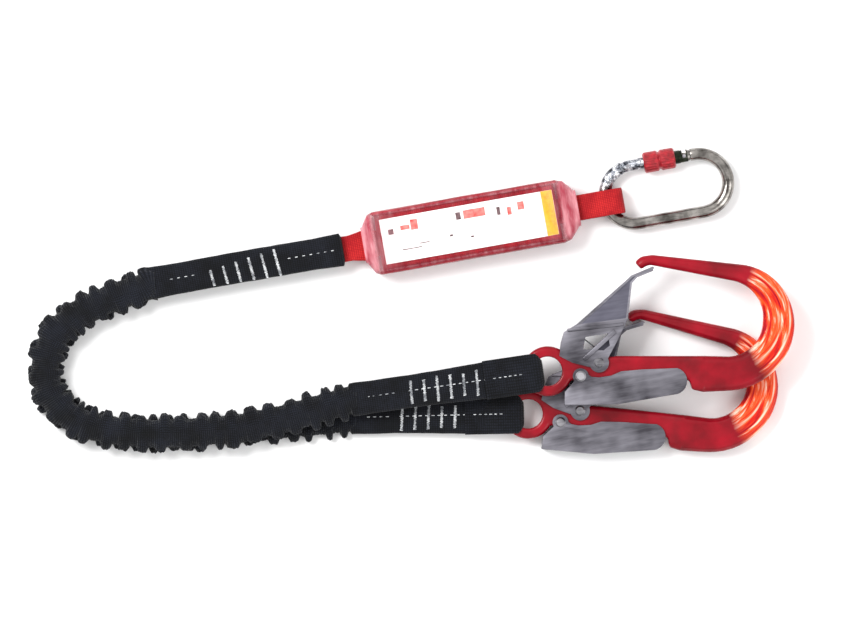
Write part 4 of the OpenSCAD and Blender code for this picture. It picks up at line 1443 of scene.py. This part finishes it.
# ---------------------------------------------------------------- studio
@dataclass
class Studio:
    """Floor, soft lights and a long lens straight above the layout."""
    centre: tuple[float, float] = (-44.5, -61.3)
    roll: float = -10.0
    view_width: float = 705.2
    lens: float = 300.0
    # tones of the surroundings from below to straight above: dark, pale all round, dim overhead
    sky: tuple = ((0.25, (0.1, 0.1, 0.11)), (0.47, (1, 1, 1)), (0.66, (1, 1, 1)), (0.74, (0.3, 0.3, 0.3)))

    def camera(self) -> None:
        """Place the camera straight above, rolled so that the layout sits as it lies."""
        data = bpy.data.cameras.new("camera")
        data.lens = self.lens
        data.sensor_width = 36.0
        distance = self.view_width * MM * self.lens / data.sensor_width
        camera = new_object("camera", data)
        camera.location = (self.centre[0] * MM, self.centre[1] * MM, distance + 15 * MM)
        camera.rotation_euler = (0, 0, math.radians(self.roll))
        bpy.context.scene.camera = camera

    def floor(self) -> None:
        """Lay a large pale floor."""
        bpy.ops.object.select_all(action="DESELECT")
        bpy.ops.mesh.primitive_plane_add(size=8, location=(0, 0, 0))
        floor = bpy.context.active_object
        floor.name = "studio_floor"
        paper, _ = new_material("pale studio paper")
        floor.data.materials.append(surface(paper, {"Base Color": srgb("f7f7f7"), "Roughness": 0.9}))

    def lamp(self, name: str, place: tuple[float, float, float], size: float, power: float,
             aim: tuple[float, float, float]) -> None:
        """Hang one soft area lamp.

        Args:
            name: the lamp's name.
            place: where it hangs, in metres.
            size: its side, in metres.
            power: its power in watts.
            aim: the point it faces, in metres.
        """
        data = bpy.data.lights.new(name, "AREA")
        data.energy = power
        data.size = size
        lamp = new_object(name, data)
        lamp.location = place
        lamp.rotation_euler = (Vector(aim) - Vector(place)).to_track_quat("-Z", "Y").to_euler()

    def lights(self) -> None:
        """Light the layout evenly from above, with a darker band for the metal to mirror."""
        world = bpy.data.worlds.new("studio world")
        world.use_nodes = True
        place = add_node(world, "ShaderNodeTexCoord").outputs["Generated"]
        height = add_node(world, "ShaderNodeSeparateXYZ", {}, {"Vector": place}).outputs["Z"]
        clouds = speckle(world, place, 1.6, 1.0)
        level = reckon(world, "MULTIPLY", reckon(world, "ADD", clouds, height), 0.5)
        tones = add_node(world, "ShaderNodeValToRGB", {}, {"Fac": level})
        stops = tones.color_ramp.elements
        stops[0].position, stops[1].position = self.sky[0][0], self.sky[1][0]
        for position, _ in self.sky[2:]:
            stops.new(position)
        for stop, (_, colour) in zip(stops, self.sky):
            stop.color = (*colour, 1)
        feed(world, world.node_tree.nodes["Background"], {"Color": tones.outputs["Color"], "Strength": 0.95})
        bpy.context.scene.world = world
        self.lamp("key", (-0.9, 0.8, 1.6), 0.9, 40, (0, -0.06, 0))
        self.lamp("fill", (1.2, -0.7, 1.4), 1.2, 12, (0, -0.06, 0))

    def build(self) -> None:
        """Set up the camera, the floor and the lights."""
        bpy.context.scene.view_settings.view_transform = "Standard"
        self.camera()
        self.floor()
        self.lights()


def main() -> None:
    """Build the scene in order: studio, cords, then every sub-assembly."""
    logging.basicConfig(level=logging.INFO, format="%(name)s: %(message)s")
    Studio().build()
    ElasticLeg(1, LEG_1_ROUTE).build()
    ElasticLeg(2, LEG_2_ROUTE).build()
    AbsorberSleeves().build()
    HookSleeve(1, LEG_1_ROUTE[-1], EYE_1, first_bar=45.0).build()
    HookSleeve(2, LEG_2_ROUTE[-1], EYE_2, first_bar=37.0).build()
    AbsorberPack().build()
    Carabiner().build()
    ScaffoldHook(1, EYE_1, TURN_1).build()
    ScaffoldHook(2, EYE_2, TURN_2).build()


if __name__ == "__main__":
    main()
